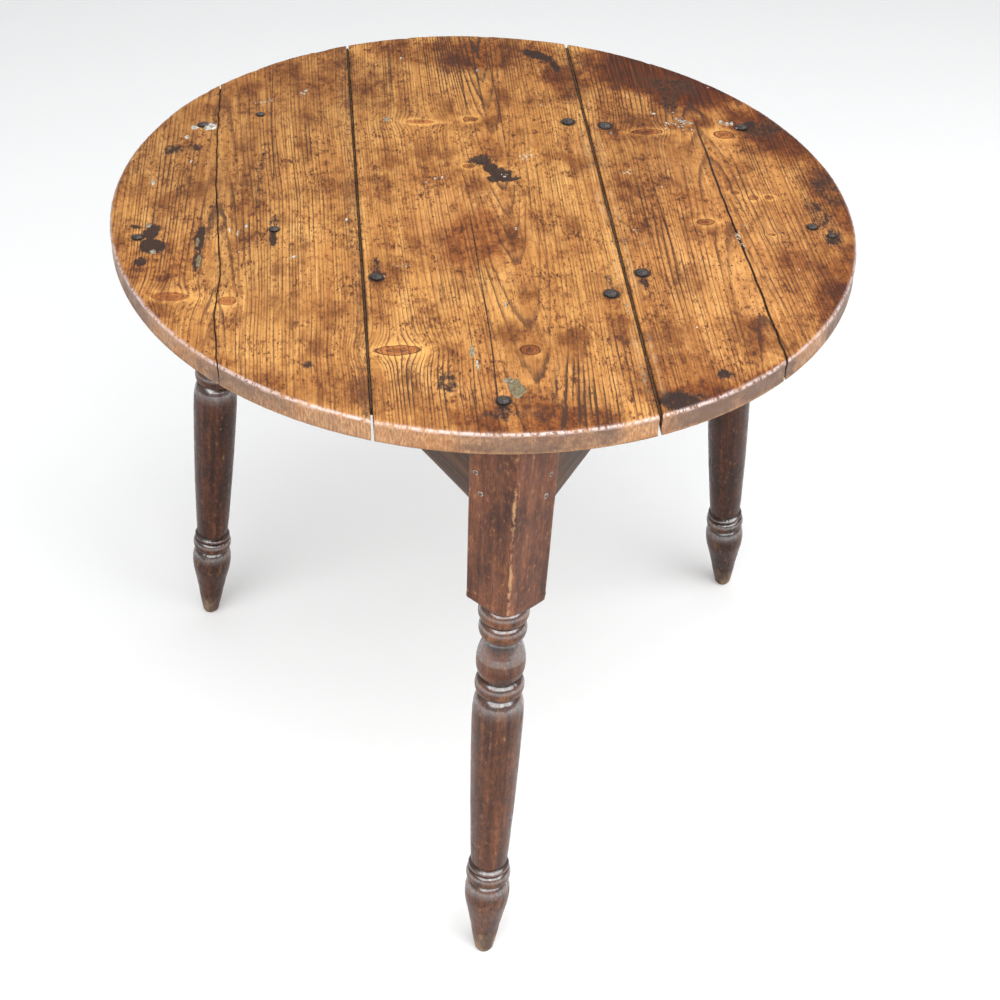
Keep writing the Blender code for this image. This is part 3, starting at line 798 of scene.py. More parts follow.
    colour = s.mix(s.times(pale, s.span(mottle, 0.40, 0.62, 0.0, 0.45)), colour, tone(226, 184, 130))
    hatch = s.noise(s.node("ShaderNodeCombineXYZ", {0: arc, 1: level}), (520, 130, 1), 4.0, 0.68)
    end = s.mix(s.span(hatch, 0.38, 0.62, 0.0, 0.85), tone(190, 146, 104), tone(128, 86, 56))
    end = s.mix(s.times(late, 0.18), end, tone(128, 76, 42))
    end = s.mix(s.span(blotch, 0.48, 0.60, 0.0, 0.40), end, tone(176, 112, 60))
    end = s.mix(s.span(broad, 0.46, 0.62, 0.0, 0.60), end, tone(108, 84, 68))
    end = s.mix(s.times(s.span(browned, 0.15, 0.85), 0.85), end, tone(92, 72, 62))
    colour = s.mix(s.times(rim, 0.90), colour, end)
    # A pale pinkish line along the rim's top arris, broken by nicks: a painted highlight. The same mask lays
    # a clear coat there.
    nicked = s.span(s.add(mottle, s.swing(hatch, 0.7)), 0.38, 0.54, 0.0, 1.0)
    arris_highlight = s.times(arris, nicked)
    colour = s.mix(s.times(arris_highlight, 0.72), colour, tone(222, 198, 192))
    grubby = s.add(dirt, s.swing(mottle, 0.6))
    colour = s.mix(s.times(s.span(grubby, 0.35, 0.85), 0.90), colour, tone(44, 31, 25))
    bare = s.mix(s.times(late, 0.6), tone(148, 112, 80), tone(104, 74, 52))
    bare = s.mix(s.span(blotch, 0.45, 0.65, 0.0, 0.7), bare, tone(92, 70, 54))
    colour = s.mix(under, colour, bare)

    rough = s.add(s.span(blotch, 0.36, 0.66, 0.34, 0.50), s.times(mottle, 0.12))
    rough = s.add(s.add(rough, s.times(under, 0.30)), s.times(arris, -0.12))
    rough = s.add(rough, s.times(dirt, 0.15))
    ridges = s.add(s.times(lines, 0.45), s.times(fine, 0.60))
    height = s.add(ridges, s.times(mottle, 0.45))
    height = s.add(height, s.times(s.add(s.add(shade, dash), dot), -1.3))
    normal = s.bump(height, 0.60, 0.00055)
    normal = s.bump(broad, 0.35, 0.004, normal)
    coat = s.times(arris_highlight, 0.8)
    return s.finish(
        Base_Color=colour,
        Roughness=rough,
        Specular_IOR_Level=0.40,
        Coat_Weight=coat,
        Coat_Roughness=0.22,
        Normal=normal,
    )


# ---- build ----


def place_in_frame(points):
    moved = np.array(points, float)
    moved[:, 1] += CENTRE_Y
    return moved


def make_boards(pine):
    left, right, split, crack = joint_left, joint_right, split_x, crack_x
    layouts = {
        "board_left_outer": (
            "left", [segment_grid(lambda y: split(y) - SPLIT_GAP, -1)], ["top_board_left_outer"]
        ),
        "board_left_inner": (
            "left",
            [plank_grid(lambda y: split(y) + SPLIT_GAP, lambda y: left(y) - LEFT_GAP)],
            ["top_board_left_inner"],
        ),
        "board_centre": (
            "centre",
            [plank_grid(lambda y: left(y) + LEFT_GAP, lambda y: right(y) - RIGHT_GAP)],
            ["top_board_centre"],
        ),
        "board_right": (
            "right",
            [
                plank_grid(lambda y: right(y) + RIGHT_GAP, lambda y: crack(y) - crack_width(y) / 2),
                segment_grid(lambda y: crack(y) + crack_width(y) / 2, 1),
            ],
            ["top_board_right"],
        ),
    }
    for name, (board, grids, nodes) in layouts.items():
        points, faces = [], []
        for x, y in grids:
            more, quads = board_solid(x, y)
            start = sum(len(p) for p in points)
            faces += [tuple(start + index for index in quad) for quad in quads]
            points.append(more)
        points = np.concatenate(points)
        obj = add_mesh(name, place_in_frame(points), faces, pine, board_attributes(points, board))
        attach(obj, "root")
        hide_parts(*nodes)


# ---- legs, rails and batten: layout ----

LEG_TOP_RADIUS = 0.3195
LEG_AZIMUTHS = {"front": -87.6, "left": 147.8, "right": 28.2}
LEG_FEET = {"front": (-0.003, -0.368), "left": (-0.331, 0.176), "right": (0.344, 0.211)}
DARKENED = {"front": 0.0, "left": 0.75, "right": 1.0}  # how much darker each leg is painted: partly an older, darker finish, partly painted shade on the side legs
RAILS = {
    "rail_front_left": ("left", "front"),
    "rail_front_right": ("front", "right"),
    "rail_back": ("right", "left"),
}
RAIL_DEPTH = 0.084
RAIL_MIDDLE = UNDERSIDE - RAIL_DEPTH / 2
RAIL_SIDES = (-0.0005, 0.0375)
RAIL_END = 0.0115
BATTEN_HALF = 0.346
BATTEN_SIDES = (-0.075, -0.031)
BATTEN_THICKNESS = 0.019
BLOCK_CORNERS = ((0.0425, 0.0), (0.013, 0.039), (-0.012, 0.036), (-0.0328, 0.0))
BLOCK_NOMINAL = 0.600
BLOCK_ARRIS = BLOCK_CORNERS[0][0]
BLOCK_TAPER = 0.45
NECK_TOP = 0.4865
# The lathe cut one side of each block deeper
LEFT_SHOULDER = {"front": 0.0105, "left": 0.003, "right": 0.005}
SHOULDER_SLOPE = 3.0

# The turned part of a leg: place up the axis and radius, in mm
TURNING_MM = (
    (-6, 8.3), (0, 8.9), (4, 10.1), (11, 11.3), (20, 12.9), (30, 14.5), (39, 15.6), (48.6, 17.4), (59, 19.1),
    (67, 20.7), (76, 22.5), (84, 23.5), (91, 23.8), (97, 23.6), (102, 22.9), (106, 21.5), (
        109.5, 19.3
    ), (111, 19.0),
    (127, 18.8), (133.5, 18.0), (140, 19.2), (166, 20.6), (192, 21.6), (218, 22.8), (260, 24.0), (292, 24.8),
    (324, 25.4), (338, 25.5), (350, 25.3), (357, 24.7), (362, 23.7), (366, 22.0), (369, 19.6), (370, 19.2),
    (390, 19.2), (391.5, 19.8), (396, 22.3), (402, 23.7), (409, 24.1), (416, 23.8), (423, 22.6), (429, 20.7),
    (434, 18.9), (437, 17.8), (
        439.5, 17.6
    ), (461, 18.6), (479, 20.6), (480.5, 21.0), (483, 23.0), (485.5, 24.1),
    (487, 24.3),
)
# Beads: middle, half height, inner and outer radius, in mm
BEADS_MM = (
    (118.5, 8.3, 18.9, 23.3), (130.4, 3.1, 18.6, 21.5), (380, 10.0, 19.2, 24.3), (450.2, 10.2, 17.9, 23.3),
    (470.6, 9.4, 19.6, 24.7),
)
# Cuts beside the beads: place, half width, depth, in mm
CUTS_MM = (
    (110.0, 1.2, 0.5), (127.1, 0.9, 0.5), (133.8, 1.0, 0.4), (369.6, 1.2, 0.5), (390.4, 1.2, 0.5),
    (439.6, 1.2, 0.4), (460.8, 1.2, 0.6), (480.6, 1.1, 0.5),
)


def leg_axis_at(leg, height):
    azimuth = math.radians(LEG_AZIMUTHS[leg])
    head = Vector((LEG_TOP_RADIUS * math.cos(azimuth), LEG_TOP_RADIUS * math.sin(azimuth), UNDERSIDE))
    return Vector((*LEG_FEET[leg], 0)).lerp(head, height / UNDERSIDE)


def leg_frame(leg):
    """Local +Z runs up the leg's axis from its foot, and local +X points out through its arris."""
    corner = leg_axis_at(leg, RAIL_MIDDLE)
    others = [leg_axis_at(other, RAIL_MIDDLE) for other in LEG_FEET if other != leg]
    inward = (others[0] - corner).normalized() + (others[1] - corner).normalized()
    up = (leg_axis_at(leg, UNDERSIDE) - leg_axis_at(leg, 0)).normalized()
    out = (-inward - up * up.dot(-inward)).normalized()
    turned = Matrix((out, up.cross(out), up)).transposed().to_4x4()
    return np.array(Matrix.Translation(leg_axis_at(leg, 0)) @ turned)


def turned_radius(s):
    """Radius of the turned part at places up the axis, in metres."""
    fine = np.arange(-6, 490, 0.25)
    base = np.interp(fine, *np.array(TURNING_MM).T)
    blur = np.hanning(11)
    base = np.convolve(np.pad(base, 5, mode="edge"), blur / blur.sum(), "valid")
    for middle, half, inner, outer in BEADS_MM:
        t = np.clip(np.abs(fine - middle) / half, 0, 1)
        base = np.where(t < 1, np.maximum(base, inner + (outer - inner) * np.sqrt(1 - t * t)), base)
    for middle, half, depth in CUTS_MM:
        base -= depth * np.exp(-(((fine - middle) / half) ** 2))
    return np.interp(s / MM, fine, base) * MM


def block_radius(angle, s, sharp=70.0):
    """Radius of the six-sided block at an angle round the leg's axis, with its arrises a little rounded."""
    corners = list(BLOCK_CORNERS) + [(out, -side) for out, side in BLOCK_CORNERS[2:0:-1]]
    scale = 1 + BLOCK_TAPER * (s - BLOCK_NOMINAL)
    total = 0
    for (ax, ay), (bx, by) in zip(corners, corners[1:] + corners[:1]):
        nx, ny = by - ay, ax - bx
        reach = (nx * ax + ny * ay) / math.hypot(nx, ny)
        facing = np.maximum((nx * np.cos(angle) + ny * np.sin(angle)) / math.hypot(nx, ny), 1e-6)
        total = total + (facing / reach * BLOCK_ARRIS) ** sharp
    return BLOCK_ARRIS * total ** (-1 / sharp) * scale


def leg_angles():
    """Angles round a leg, closer together at the block's corners."""
    corners = [math.atan2(side, out) for out, side in BLOCK_CORNERS]
    angles = []
    for (low, high), count in zip(zip(corners, corners[1:]), (26, 14, 24)):
        part = (1 - np.cos(np.linspace(0, math.pi, count, endpoint=False))) / 2
        angles.append(low + (high - low) * (0.45 * part + 0.55 * np.linspace(0, 1, count, endpoint=False)))
    half = np.concatenate(angles)
    return np.concatenate([half, [math.pi], 2 * math.pi - half[:0:-1]])


def leg_levels():
    zones = (
        (0, 0.004, 4),
        (0.004, 0.100, 40),
        (0.100, 0.140, 46),
        (0.140, 0.360, 84),
        (0.360, 0.445, 90),
        (0.445, 0.530, 92),
        (0.530, 0.690, 56),
    )
    parts = [np.linspace(low, high, count, endpoint=False) for low, high, count in zones]
    return np.concatenate(parts + [[zones[-1][1]]])


def make_leg(leg, material):
    frame_of_leg = leg_frame(leg)
    seed = {"front": 101, "left": 131, "right": 161}[leg]
    out_z, side_z, up_z = frame_of_leg[2, :3]
    angle, s = np.meshgrid(leg_angles(), leg_levels())
    lean = out_z * np.cos(angle) + side_z * np.sin(angle)

    def radius_at(s):
        cone = turned_radius(np.full(1, NECK_TOP))[0] + (s - NECK_TOP) * SHOULDER_SLOPE
        cone = cone - LEFT_SHOULDER[leg] * ease(-np.sin(angle), 0.35, 0.95) * ease(s, 0.520, 0.495)
        worn = 75 + 40 * noise(s * 24, np.round(angle * 2), seed)
        block = block_radius(angle, s, worn)
        square = (np.maximum(cone, 0.001) ** -34.0 + block**-34.0) ** (-1 / 34)
        return np.where(s < NECK_TOP, turned_radius(s), square)

    for _ in range(4):
        radius = radius_at(s)
        foot = -radius * lean / up_z
        head = (HEAD_LEVEL - radius * lean) / up_z
        base = leg_levels()[:, None]
        s = base + foot * (1 - ease(base, 0.0, 0.030))
        s = np.where(base > 0.60, 0.60 + (base - 0.60) * (head - 0.60) / 0.09, s)
    radius = radius_at(s)
    turn = np.stack([np.cos(angle), np.sin(angle)])
    wave = 0.00012 * (1 + noise(turn[0] * 2 + 9, s * 14, seed + 1))
    dents = 0.0006 * ease(cloud(angle * 5.0, s * 85, seed + 2), 0.42, 0.70)
    planed = 0.00022 * (1 + noise(turn[1] * 9 + 20, s * 26, seed + 3)) * (s > 0.50)
    shown = radius - wave - dents - planed
    bite = ease(s, 0.004, 0.0) * 0.0012
    local = np.stack([(shown - bite) * turn[0], (shown - bite) * turn[1], s], -1)
    corner_angles = np.array([math.atan2(side, out) for out, side in BLOCK_CORNERS[:3]])
    folded = np.abs((angle + math.pi) % (2 * math.pi) - math.pi)
    arris = np.min(np.abs(folded[..., None] - corner_angles), -1) * radius
    # A lighter stripe along the block's arrises, strongest on the outer one: partly real wear, partly a
    # painted highlight.
    rubbed = 0.55 + 0.45 * noise(s * 26, folded * 3, seed + 4)
    wear = ease(arris, 0.0026, 0.0003) * (s > 0.494) * rubbed * (0.30 + 0.70 * ease(folded, 0.5, 0.2))
    crest = sum(np.exp(-(((s / MM - middle) / (half * 0.55)) ** 2)) for middle, half, _, _ in BEADS_MM)
    crest = crest + np.exp(-(((s - 0.088) / 0.016) ** 2)) * 0.9 + np.exp(-(((s - 0.409) / 0.010) ** 2)) * 0.6
    hollow = sum(np.exp(-(((s / MM - middle) / (half * 1.6)) ** 2)) for middle, half, _ in CUTS_MM)
    hollow = hollow + np.exp(-(((s - 0.4365) / 0.004) ** 2)) + 0.7 * np.exp(-(((s - 0.4885) / 0.0022) ** 2))
    toe = ease(s, 0.060, 0.004)
    rise = np.degrees(np.arctan2(-np.gradient(radius, axis=0), np.gradient(s, axis=0)))
    gloss = ease(rise, -1, 16) * (s < NECK_TOP)
    rows, columns = s.shape
    points = local.reshape(-1, 3)
    faces = []
    for row in range(rows - 1):
        first = np.arange(columns) + row * columns
        faces += band_faces(first, first + columns)
    marks = np.stack([wear, np.clip(hollow, 0, 1), toe], -1).reshape(-1, 3)
    place = np.stack([np.clip(crest, 0, 1), s, gloss], -1).reshape(-1, 3)
    for row, order in ((0, -1), (rows - 1, 1)):
        ring = points[row * columns : (row + 1) * columns]
        middle = ring.mean(0)
        start = len(points)
        inner = middle + (ring - middle) * 0.55
        index = np.arange(columns)
        outer_loop = index + row * columns
        inner_loop = start + index
        points = np.concatenate([points, inner, middle[None]])
        marks = np.concatenate([marks, marks[outer_loop], marks[outer_loop[:1]]])
        place = np.concatenate([place, place[outer_loop], place[outer_loop[:1]]])
        centre = start + columns
        band = band_faces(outer_loop, inner_loop)
        fan = [(inner_loop[i], inner_loop[(i + 1) % columns], centre) for i in range(columns)]
        faces += [face[::order] for face in band + fan]
    age_and_shade = np.full(len(points), DARKENED[leg])
    attributes = {"local": points.copy(), "marks": marks, "place": place, "age_and_shade": age_and_shade}
    moved = points @ frame_of_leg[:3, :3].T + frame_of_leg[:3, 3]
    moved[:, 2] = np.clip(moved[:, 2], 0, HEAD_LEVEL)
    faces = [tuple(map(int, face)) for face in faces]
    obj = add_mesh("turned_leg_" + leg, place_in_frame(moved), faces, material, attributes, 42)
    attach(obj, "root")
    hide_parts("leg_" + leg)


def inside_block(leg, points):
    frame_of_leg = leg_frame(leg)
    local = (points - frame_of_leg[:3, 3]) @ frame_of_leg[:3, :3]
    reach = block_radius(np.arctan2(local[..., 1], local[..., 0]), local[..., 2], 200.0)
    return np.hypot(local[..., 0], local[..., 1]) < reach + 0.0002


def section_loop(low, high, step, corner):
    """(y, z) points round a rectangle with its corners eased, anticlockwise from its low corner."""
    (y0, z0), (y1, z1) = low, high
    points = []
    for ax, az, bx, bz in ((y0, z0, y1, z0), (y1, z0, y1, z1), (y1, z1, y0, z1), (y0, z1, y0, z0)):
        length = math.hypot(bx - ax, bz - az)
        places = [corner * 0.3, corner] + list(
            np.linspace(corner, length - corner, max(3, round(length / step)))[1:]
        )
        for place in places + [length - corner * 0.3]:
            x = ax + (bx - ax) * place / length
            z = az + (bz - az) * place / length
            points.append((x, z))
    points = np.array(points)
    middle = np.array([(y0 + y1) / 2, (z0 + z1) / 2])
    half = np.array([(y1 - y0) / 2, (z1 - z0) / 2])
    away = (half - np.abs(points - middle)) / corner
    tuck = np.clip(1 - away, 0, 1).prod(1)[:, None] * corner * 0.42
    return points - np.sign(points - middle) * tuck


def make_beam(name, matrix, loop, starts, ends, step, seed, material, node):
    """A long piece with a closed section, whose two ends may be cut to any shape."""
    stations = np.linspace(0, 1, max(8, round(float((ends - starts).mean()) / step)))
    x = starts[None] + stations[:, None] * (ends - starts)[None]
    middle = (loop.max(0) + loop.min(0)) / 2
    section = np.broadcast_to(loop, (len(stations), *loop.shape)).copy()
    around = np.arctan2(loop[:, 1] - middle[1], loop[:, 0] - middle[0])[None]
    rough = 0.00035 * (1 + cloud(x * 18, around * 2.2, seed)) + 0.0005 * ease(
        cloud(x * 70, around * 9, seed + 3), 0.4, 0.7
    )
    away = section - middle
    section -= np.sign(away) * (rough / np.abs(away).max(-1))[..., None] * np.abs(away)
    section[..., 1] = np.minimum(section[..., 1], loop[:, 1].max())
    local = np.concatenate([x[..., None], section], -1)
    rows, columns = x.shape
    points = local.reshape(-1, 3)
    faces = []
    for row in range(rows - 1):
        first = np.arange(columns) + row * columns
        faces += band_faces(first + columns, first)
    for row, order in ((0, 1), (rows - 1, -1)):
        ring = np.arange(columns) + row * columns
        centre = len(points)
        points = np.concatenate([points, points[ring].mean(0)[None]])
        faces += [(ring[i], ring[(i + 1) % columns], centre)[::order] for i in range(columns)]
    half = (loop.max(0) - loop.min(0)) / 2
    near = np.sort((half - np.abs(points[:, 1:] - middle)), -1)
    arris = np.hypot(near[:, 0], near[:, 1])
    wear = ease(arris, 0.005, 0.001) * (0.5 + 0.5 * noise(points[:, 0] * 30, points[:, 1] * 80, seed + 5))
    # The second mark darkens the top 12 mm of each piece, just under the boards: painted shade.
    marks = np.stack([wear, ease(points[:, 2], UNDERSIDE - 0.012, UNDERSIDE), np.zeros(len(points))], -1)
    moved = points @ matrix[:3, :3].T + matrix[:3, 3]
    faces = [tuple(map(int, face)) for face in faces]
    obj = add_mesh(name, place_in_frame(moved), faces, material, {"local": points, "marks": marks})
    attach(obj, "root")
    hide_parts(node)


def make_rails(material):
    for number, (rail, (first, last)) in enumerate(RAILS.items()):
        start, end = leg_axis_at(first, RAIL_MIDDLE), leg_axis_at(last, RAIL_MIDDLE)
        along = (end - start).normalized()
        matrix = Matrix((along, along.cross(Vector((0, 0, 1))), (0, 0, 1))).transposed().to_4x4()
        matrix = np.array(Matrix.Translation((start.x, start.y, 0)) @ matrix)
        length = (end - start).length
        loop = section_loop(
            (RAIL_SIDES[0], UNDERSIDE - RAIL_DEPTH), (RAIL_SIDES[1], HEAD_LEVEL), 0.005, 0.0016
        )
        cuts = []
        for leg, outer in ((first, RAIL_END), (last, length - RAIL_END)):
            low, high = np.full(len(loop), outer), np.full(len(loop), length / 2)
            for _ in range(24):
                half = (low + high) / 2
                local = np.concatenate([half[:, None], loop], -1)
                buried = inside_block(leg, local @ matrix[:3, :3].T + matrix[:3, 3])
                low, high = np.where(buried, half, low), np.where(buried, high, half)
            cuts.append(high)
        make_beam(
            "plain_" + rail,
            matrix,
            loop,
            cuts[0],
            cuts[1],
            0.005,
            201 + number * 20,
            material,
            rail,
        )


def make_batten(material):
    loop = section_loop(
        (BATTEN_SIDES[0], UNDERSIDE - BATTEN_THICKNESS), (BATTEN_SIDES[1], HEAD_LEVEL), 0.005, 0.0012
    )
    ends = np.full(len(loop), BATTEN_HALF)
    make_beam(
        "sawn_batten", np.eye(4), loop, -ends, ends, 0.006, 271, material, "cross_batten"
    )


# ---- pegs, nails, joint dirt, putty ----

PEG_PLACES = {
    "near": ((0.0168, -0.0339, 0.6383), (0.0204, -0.0288, 0.6177)),
    "far": ((0.0177, 0.0327, 0.6375), (0.0201, 0.0293, 0.6155)),
}
PEG_RADIUS = 0.0029
NAIL_PROUD = 0.0007


def lathe_points(rings):
    """Stacks closed rings of points, and closes both ends with a middle point."""
    count = len(rings[0])
    points = np.concatenate([*rings, rings[0].mean(0)[None], rings[-1].mean(0)[None]])
    faces = []
    for row in range(len(rings) - 1):
        first = np.arange(count) + row * count
        faces += band_faces(first + count, first)
    low, high = len(points) - 2, len(points) - 1
    last = (len(rings) - 1) * count
    faces += [(i, (i + 1) % count, low) for i in range(count)]
    faces += [(last + (i + 1) % count, last + i, high) for i in range(count)]
    return points, [tuple(map(int, face)) for face in faces]


def make_pegs(material):
    for leg in LEG_FEET:
        frame_of_leg = leg_frame(leg)
        for face, places in PEG_PLACES.items():
            side = math.copysign(1, places[0][1])
            across = Vector((BLOCK_CORNERS[1][0] - BLOCK_CORNERS[0][0], side * BLOCK_CORNERS[1][1], 0))
            normal = Vector((across.y, -across.x, 0)).normalized() * side
            turn = np.array(Vector((0, 0, 1)).rotation_difference(normal).to_matrix())
            for number, place in enumerate(places, start=1):
                name = f"peg_{leg}_{face}_{number}"
                seed = sum(map(ord, name))
                angle = np.linspace(0, 2 * math.pi, 28, endpoint=False)
                cut = 1 / np.maximum.reduce(
                    [np.cos(angle - turned) for turned in np.arange(7) * 2 * math.pi / 7 + seed]
                )
                shape = np.minimum(cut * (0.93 + 0.05 * noise(angle * 2, 0, seed)), 1.06)
                rings = []
                for radius, z in (
                    (0.3, 0.75), (0.6, 0.72), (0.82, 0.55), (0.95, 0.20), (1.0, -0.3), (1.0, -12), (0.88, -28)
                ):
                    swell = 0.00012 * noise(angle * 3, z, seed + 1) if z > 0 else 0
                    ring = np.stack(
                        [
                            np.cos(angle) * shape * radius * PEG_RADIUS,
                            np.sin(angle) * shape * radius * PEG_RADIUS,
                            np.full(28, z * MM) + swell,
                        ],
                        -1,
                    )
                    rings.append(ring)
                points, faces = lathe_points(rings[::-1])
                local = points @ turn.T + np.array(place)
                moved = local @ frame_of_leg[:3, :3].T + frame_of_leg[:3, 3]
                obj = add_mesh("cut_" + name, place_in_frame(moved), faces, material, {"local": points}, 40)
                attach(obj, "root")
                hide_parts(name)


def make_nails(material):
    for name, (px, py), head, length, lean in NAILS:
        seed = sum(map(ord, name))
        rng = np.random.default_rng(seed)
        angle = np.linspace(0, 2 * math.pi, 36, endpoint=False)
        outline = 1 + 0.05 * np.cos(4 * angle + rng.uniform(0, 6)) + 0.04 * noise(
            np.cos(angle) * 2, np.sin(angle) * 2, seed
        )
        outline = outline / outline.max() * head * MM
        facets = [(rng.uniform(0, 0.5) + k * 2 * math.pi / 5, rng.uniform(0.7, 1.05)) for k in range(5)]
        rings = []
        for part in (0.12, 0.28, 0.45, 0.62, 0.78, 0.90, 0.97, 1.0):
            x, y = np.cos(angle) * part, np.sin(angle) * part
            slope = np.max([(x * math.cos(a) + y * math.sin(a)) * steep for a, steep in facets], axis=0)
            z = NAIL_PROUD * (1 - 0.95 * np.clip(slope, 0.06, 1)) - 0.0004 * part**6
            z = np.minimum(z + 0.00006 * noise(x * 4, y * 4, seed + 1), NAIL_PROUD)
            rings.append(np.stack([x * outline, y * outline, z], -1))
        square = np.maximum(np.abs(np.cos(angle)), np.abs(np.sin(angle)))
        for width, z in (
            (0.97, -0.0008),
            (0.85, -0.0013),
            (0.0, -0.0014),
            (0.0, -length * 0.0006),
            (-0.5, -length * 0.00099),
        ):
            if width > 0:
                ring = np.stack(
                    [np.cos(angle) * outline * width, np.sin(angle) * outline * width, np.full(36, z)], -1
                )
            else:
                half = 0.0019 * (1 + width)
                ring = np.stack(
                    [np.cos(angle) / square * half, np.sin(angle) / square * half, np.full(36, z)], -1
                )
            rings.append(ring)
        points, faces = lathe_points(rings[::-1])
        down = Vector((lean[0], lean[1], -length)).normalized()
        turn = np.array(Vector((0, 0, -1)).rotation_difference(down).to_matrix())
        moved = points @ turn.T + np.array([px * MM, py * MM, HEIGHT])
        obj = add_mesh("forged_" + name, place_in_frame(moved), faces, material, {"local": points}, 24)
        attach(obj, "root")
        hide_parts(name)


def make_joint_dirt(material):
    """Old dirt packed in the joints and the split, a little below the surface."""
    runs = (
        ("left", joint_left, 0.0026, 0.022, 0.005),
        ("right", joint_right, 0.0032, 0.006, 0.005),
        ("split", split_x, 0.0012, 0.006, 0.006),
        ("crack", crack_x, None, 0.006, None),
    )
    for number, (name, line, gap, front, back) in enumerate(runs):
        ends = float(meet_rim(line, -1)) + front, float(meet_rim(line, 1)) - back if back else 0.090
        y = np.linspace(*ends, round((ends[1] - ends[0]) / 0.003))
        x = line(y)
        half = (np.full(len(y), gap) if gap else crack_width(y)) / 2 + 0.00015
        high = HEIGHT - 0.0009 - 0.0009 * (
            1 + noise(y * 60, 0, 301 + number)
        ) - 0.0006 * noise(y * 260, 0, 311 + number)
        low = HEIGHT - 0.0110 - 0.0012 * noise(y * 50, 0, 321 + number)
        rings = []
        for side, part in ((-1, 0), (-1, 0.6), (-0.5, 1), (0, 0.9), (0.5, 1), (1, 0.6), (1, 0)):
            rings.append(np.stack([x + side * half, y, low + (high - low) * part], -1))
        stack = np.stack(rings, 1)
        points, faces = lathe_points([stack[i] for i in range(len(y))])
        obj = add_mesh("dirt_in_" + name, place_in_frame(points), faces, material, {"local": points})
        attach(obj, "root")


WHITE, CHALK, OLIVE, GREY, CREAM = (
    0.62, 0.61, 0.56
), (0.50, 0.48, 0.42), (0.20, 0.18, 0.10), (0.30, 0.28, 0.20), (0.54, 0.44, 0.31)
# Lumps and flecks of paint and putty: x, y, half width, half length, thickness (mm), tint
LUMPS = (
    (-280, 161, 7.0, 8.0, 1.3, WHITE),
    (-295, 159, 4.2, 5.5, 0.25, WHITE),
    (-302, 138, 2.2, 4.0, 0.2, WHITE),
    (-294, 88, 1.3, 2.6, 0.2, WHITE),
    (-329, 46, 1.7, 5.0, 0.2, CHALK),
    (-318, -84, 3.4, 3.8, 1.0, GREY),
    (-326, -36, 3.2, 4.0, 0.8, GREY),
    (-274, -99, 2.2, 11.0, 0.5, OLIVE),
    (-277, -66, 1.9, 9.0, 0.5, OLIVE),
    (-77, 316, 1.1, 3.0, 0.2, WHITE),
    (8, 286, 1.8, 3.4, 0.2, CHALK),
    (-94, 175, 3.6, 5.2, 0.7, GREY),
    (-46, 51, 1.5, 2.2, 0.2, WHITE),
    (-39, 53, 1.3, 2.4, 0.2, WHITE),
    (-55, 43, 1.5, 1.8, 0.2, WHITE),
    (72, 205, 1.4, 1.6, 0.2, CHALK),
    (15, -309, 8.0, 13.0, 0.5, OLIVE),
    (9, -297, 4.5, 5.5, 0.4, GREY),
    (-22, -252, 2.0, 10.0, 0.3, GREY),
    (-18, -272, 1.3, 8.0, 0.3, CHALK),
    (-184, -93, 2.4, 1.8, 0.3, WHITE),
    (-188, -96, 1.0, 1.2, 0.3, WHITE),
    (-135, -27, 1.2, 2.6, 0.3, WHITE),
    (-232, -38, 1.2, 4.0, 0.2, WHITE),
    (-240, -50, 1.0, 5.0, 0.2, CHALK),
    (-248, -44, 1.0, 3.0, 0.2, WHITE),
    (30, -46, 1.2, 2.6, 0.2, WHITE),
    (12, -178, 0.9, 5.0, 0.2, CHALK),
)
# Crumbly patches: x, y, half width, half length (mm), how many crumbs, crumb radius (mm), tint
CRUMBS = (
    (220, 166, 9, 15, 26, 1.5, CHALK),
    (203, 165, 6, 9, 9, 1.0, CHALK),
    (193, 186, 4, 4, 5, 1.0, WHITE),
    (268, 164, 10, 8, 18, 1.5, CHALK),
    (143, 143, 3, 5, 7, 1.1, WHITE),
    (152, 62, 4, 7, 8, 1.0, CREAM),
    (247, -64, 5, 22, 22, 1.2, CREAM),
    (148, -55, 3, 6, 6, 0.8, CREAM),
    (152, -79, 3, 5, 5, 0.8, CREAM),
    (51, 93, 8, 11, 16, 0.9, WHITE),
    (-82, -110, 14, 3, 10, 0.7, WHITE),
    (-182, 236, 5, 7, 7, 1.2, CHALK),
    (25, 60, 7, 6, 6, 0.8, WHITE),
    (-100, -127, 3, 3, 3, 0.7, WHITE),
    (-225, 212, 12, 7, 8, 1.0, CHALK),
    (125, -186, 3, 16, 8, 1.0, CREAM),
)


def lump(x, y, wide, tall, thick, tint, seed):
    angle = np.linspace(0, 2 * math.pi, 16, endpoint=False)
    ragged = 1 + 0.28 * noise(
        np.cos(angle) * 1.7 + seed, np.sin(angle) * 1.7, seed
    ) + 0.16 * noise(angle * 3, seed, 9)
    rings = []
    for part, lift in ((0.999, -0.3), (0.97, 0.35), (0.80, 0.80), (0.50, 0.95), (0.20, 1.0)):
        px = (x + np.cos(angle) * ragged * wide * part) * MM
        py = (y + np.sin(angle) * ragged * tall * part) * MM
        rough = 1 + 0.35 * noise(px * 900, py * 900, seed)
        level = top_level(px, py) + np.maximum(lift * thick * rough, -0.15) * MM
        rings.append(np.stack([px, py, np.minimum(level, HEIGHT + 0.0009)], -1))
    points, faces = lathe_points(rings)
    return points, faces, np.broadcast_to(tint, points.shape)


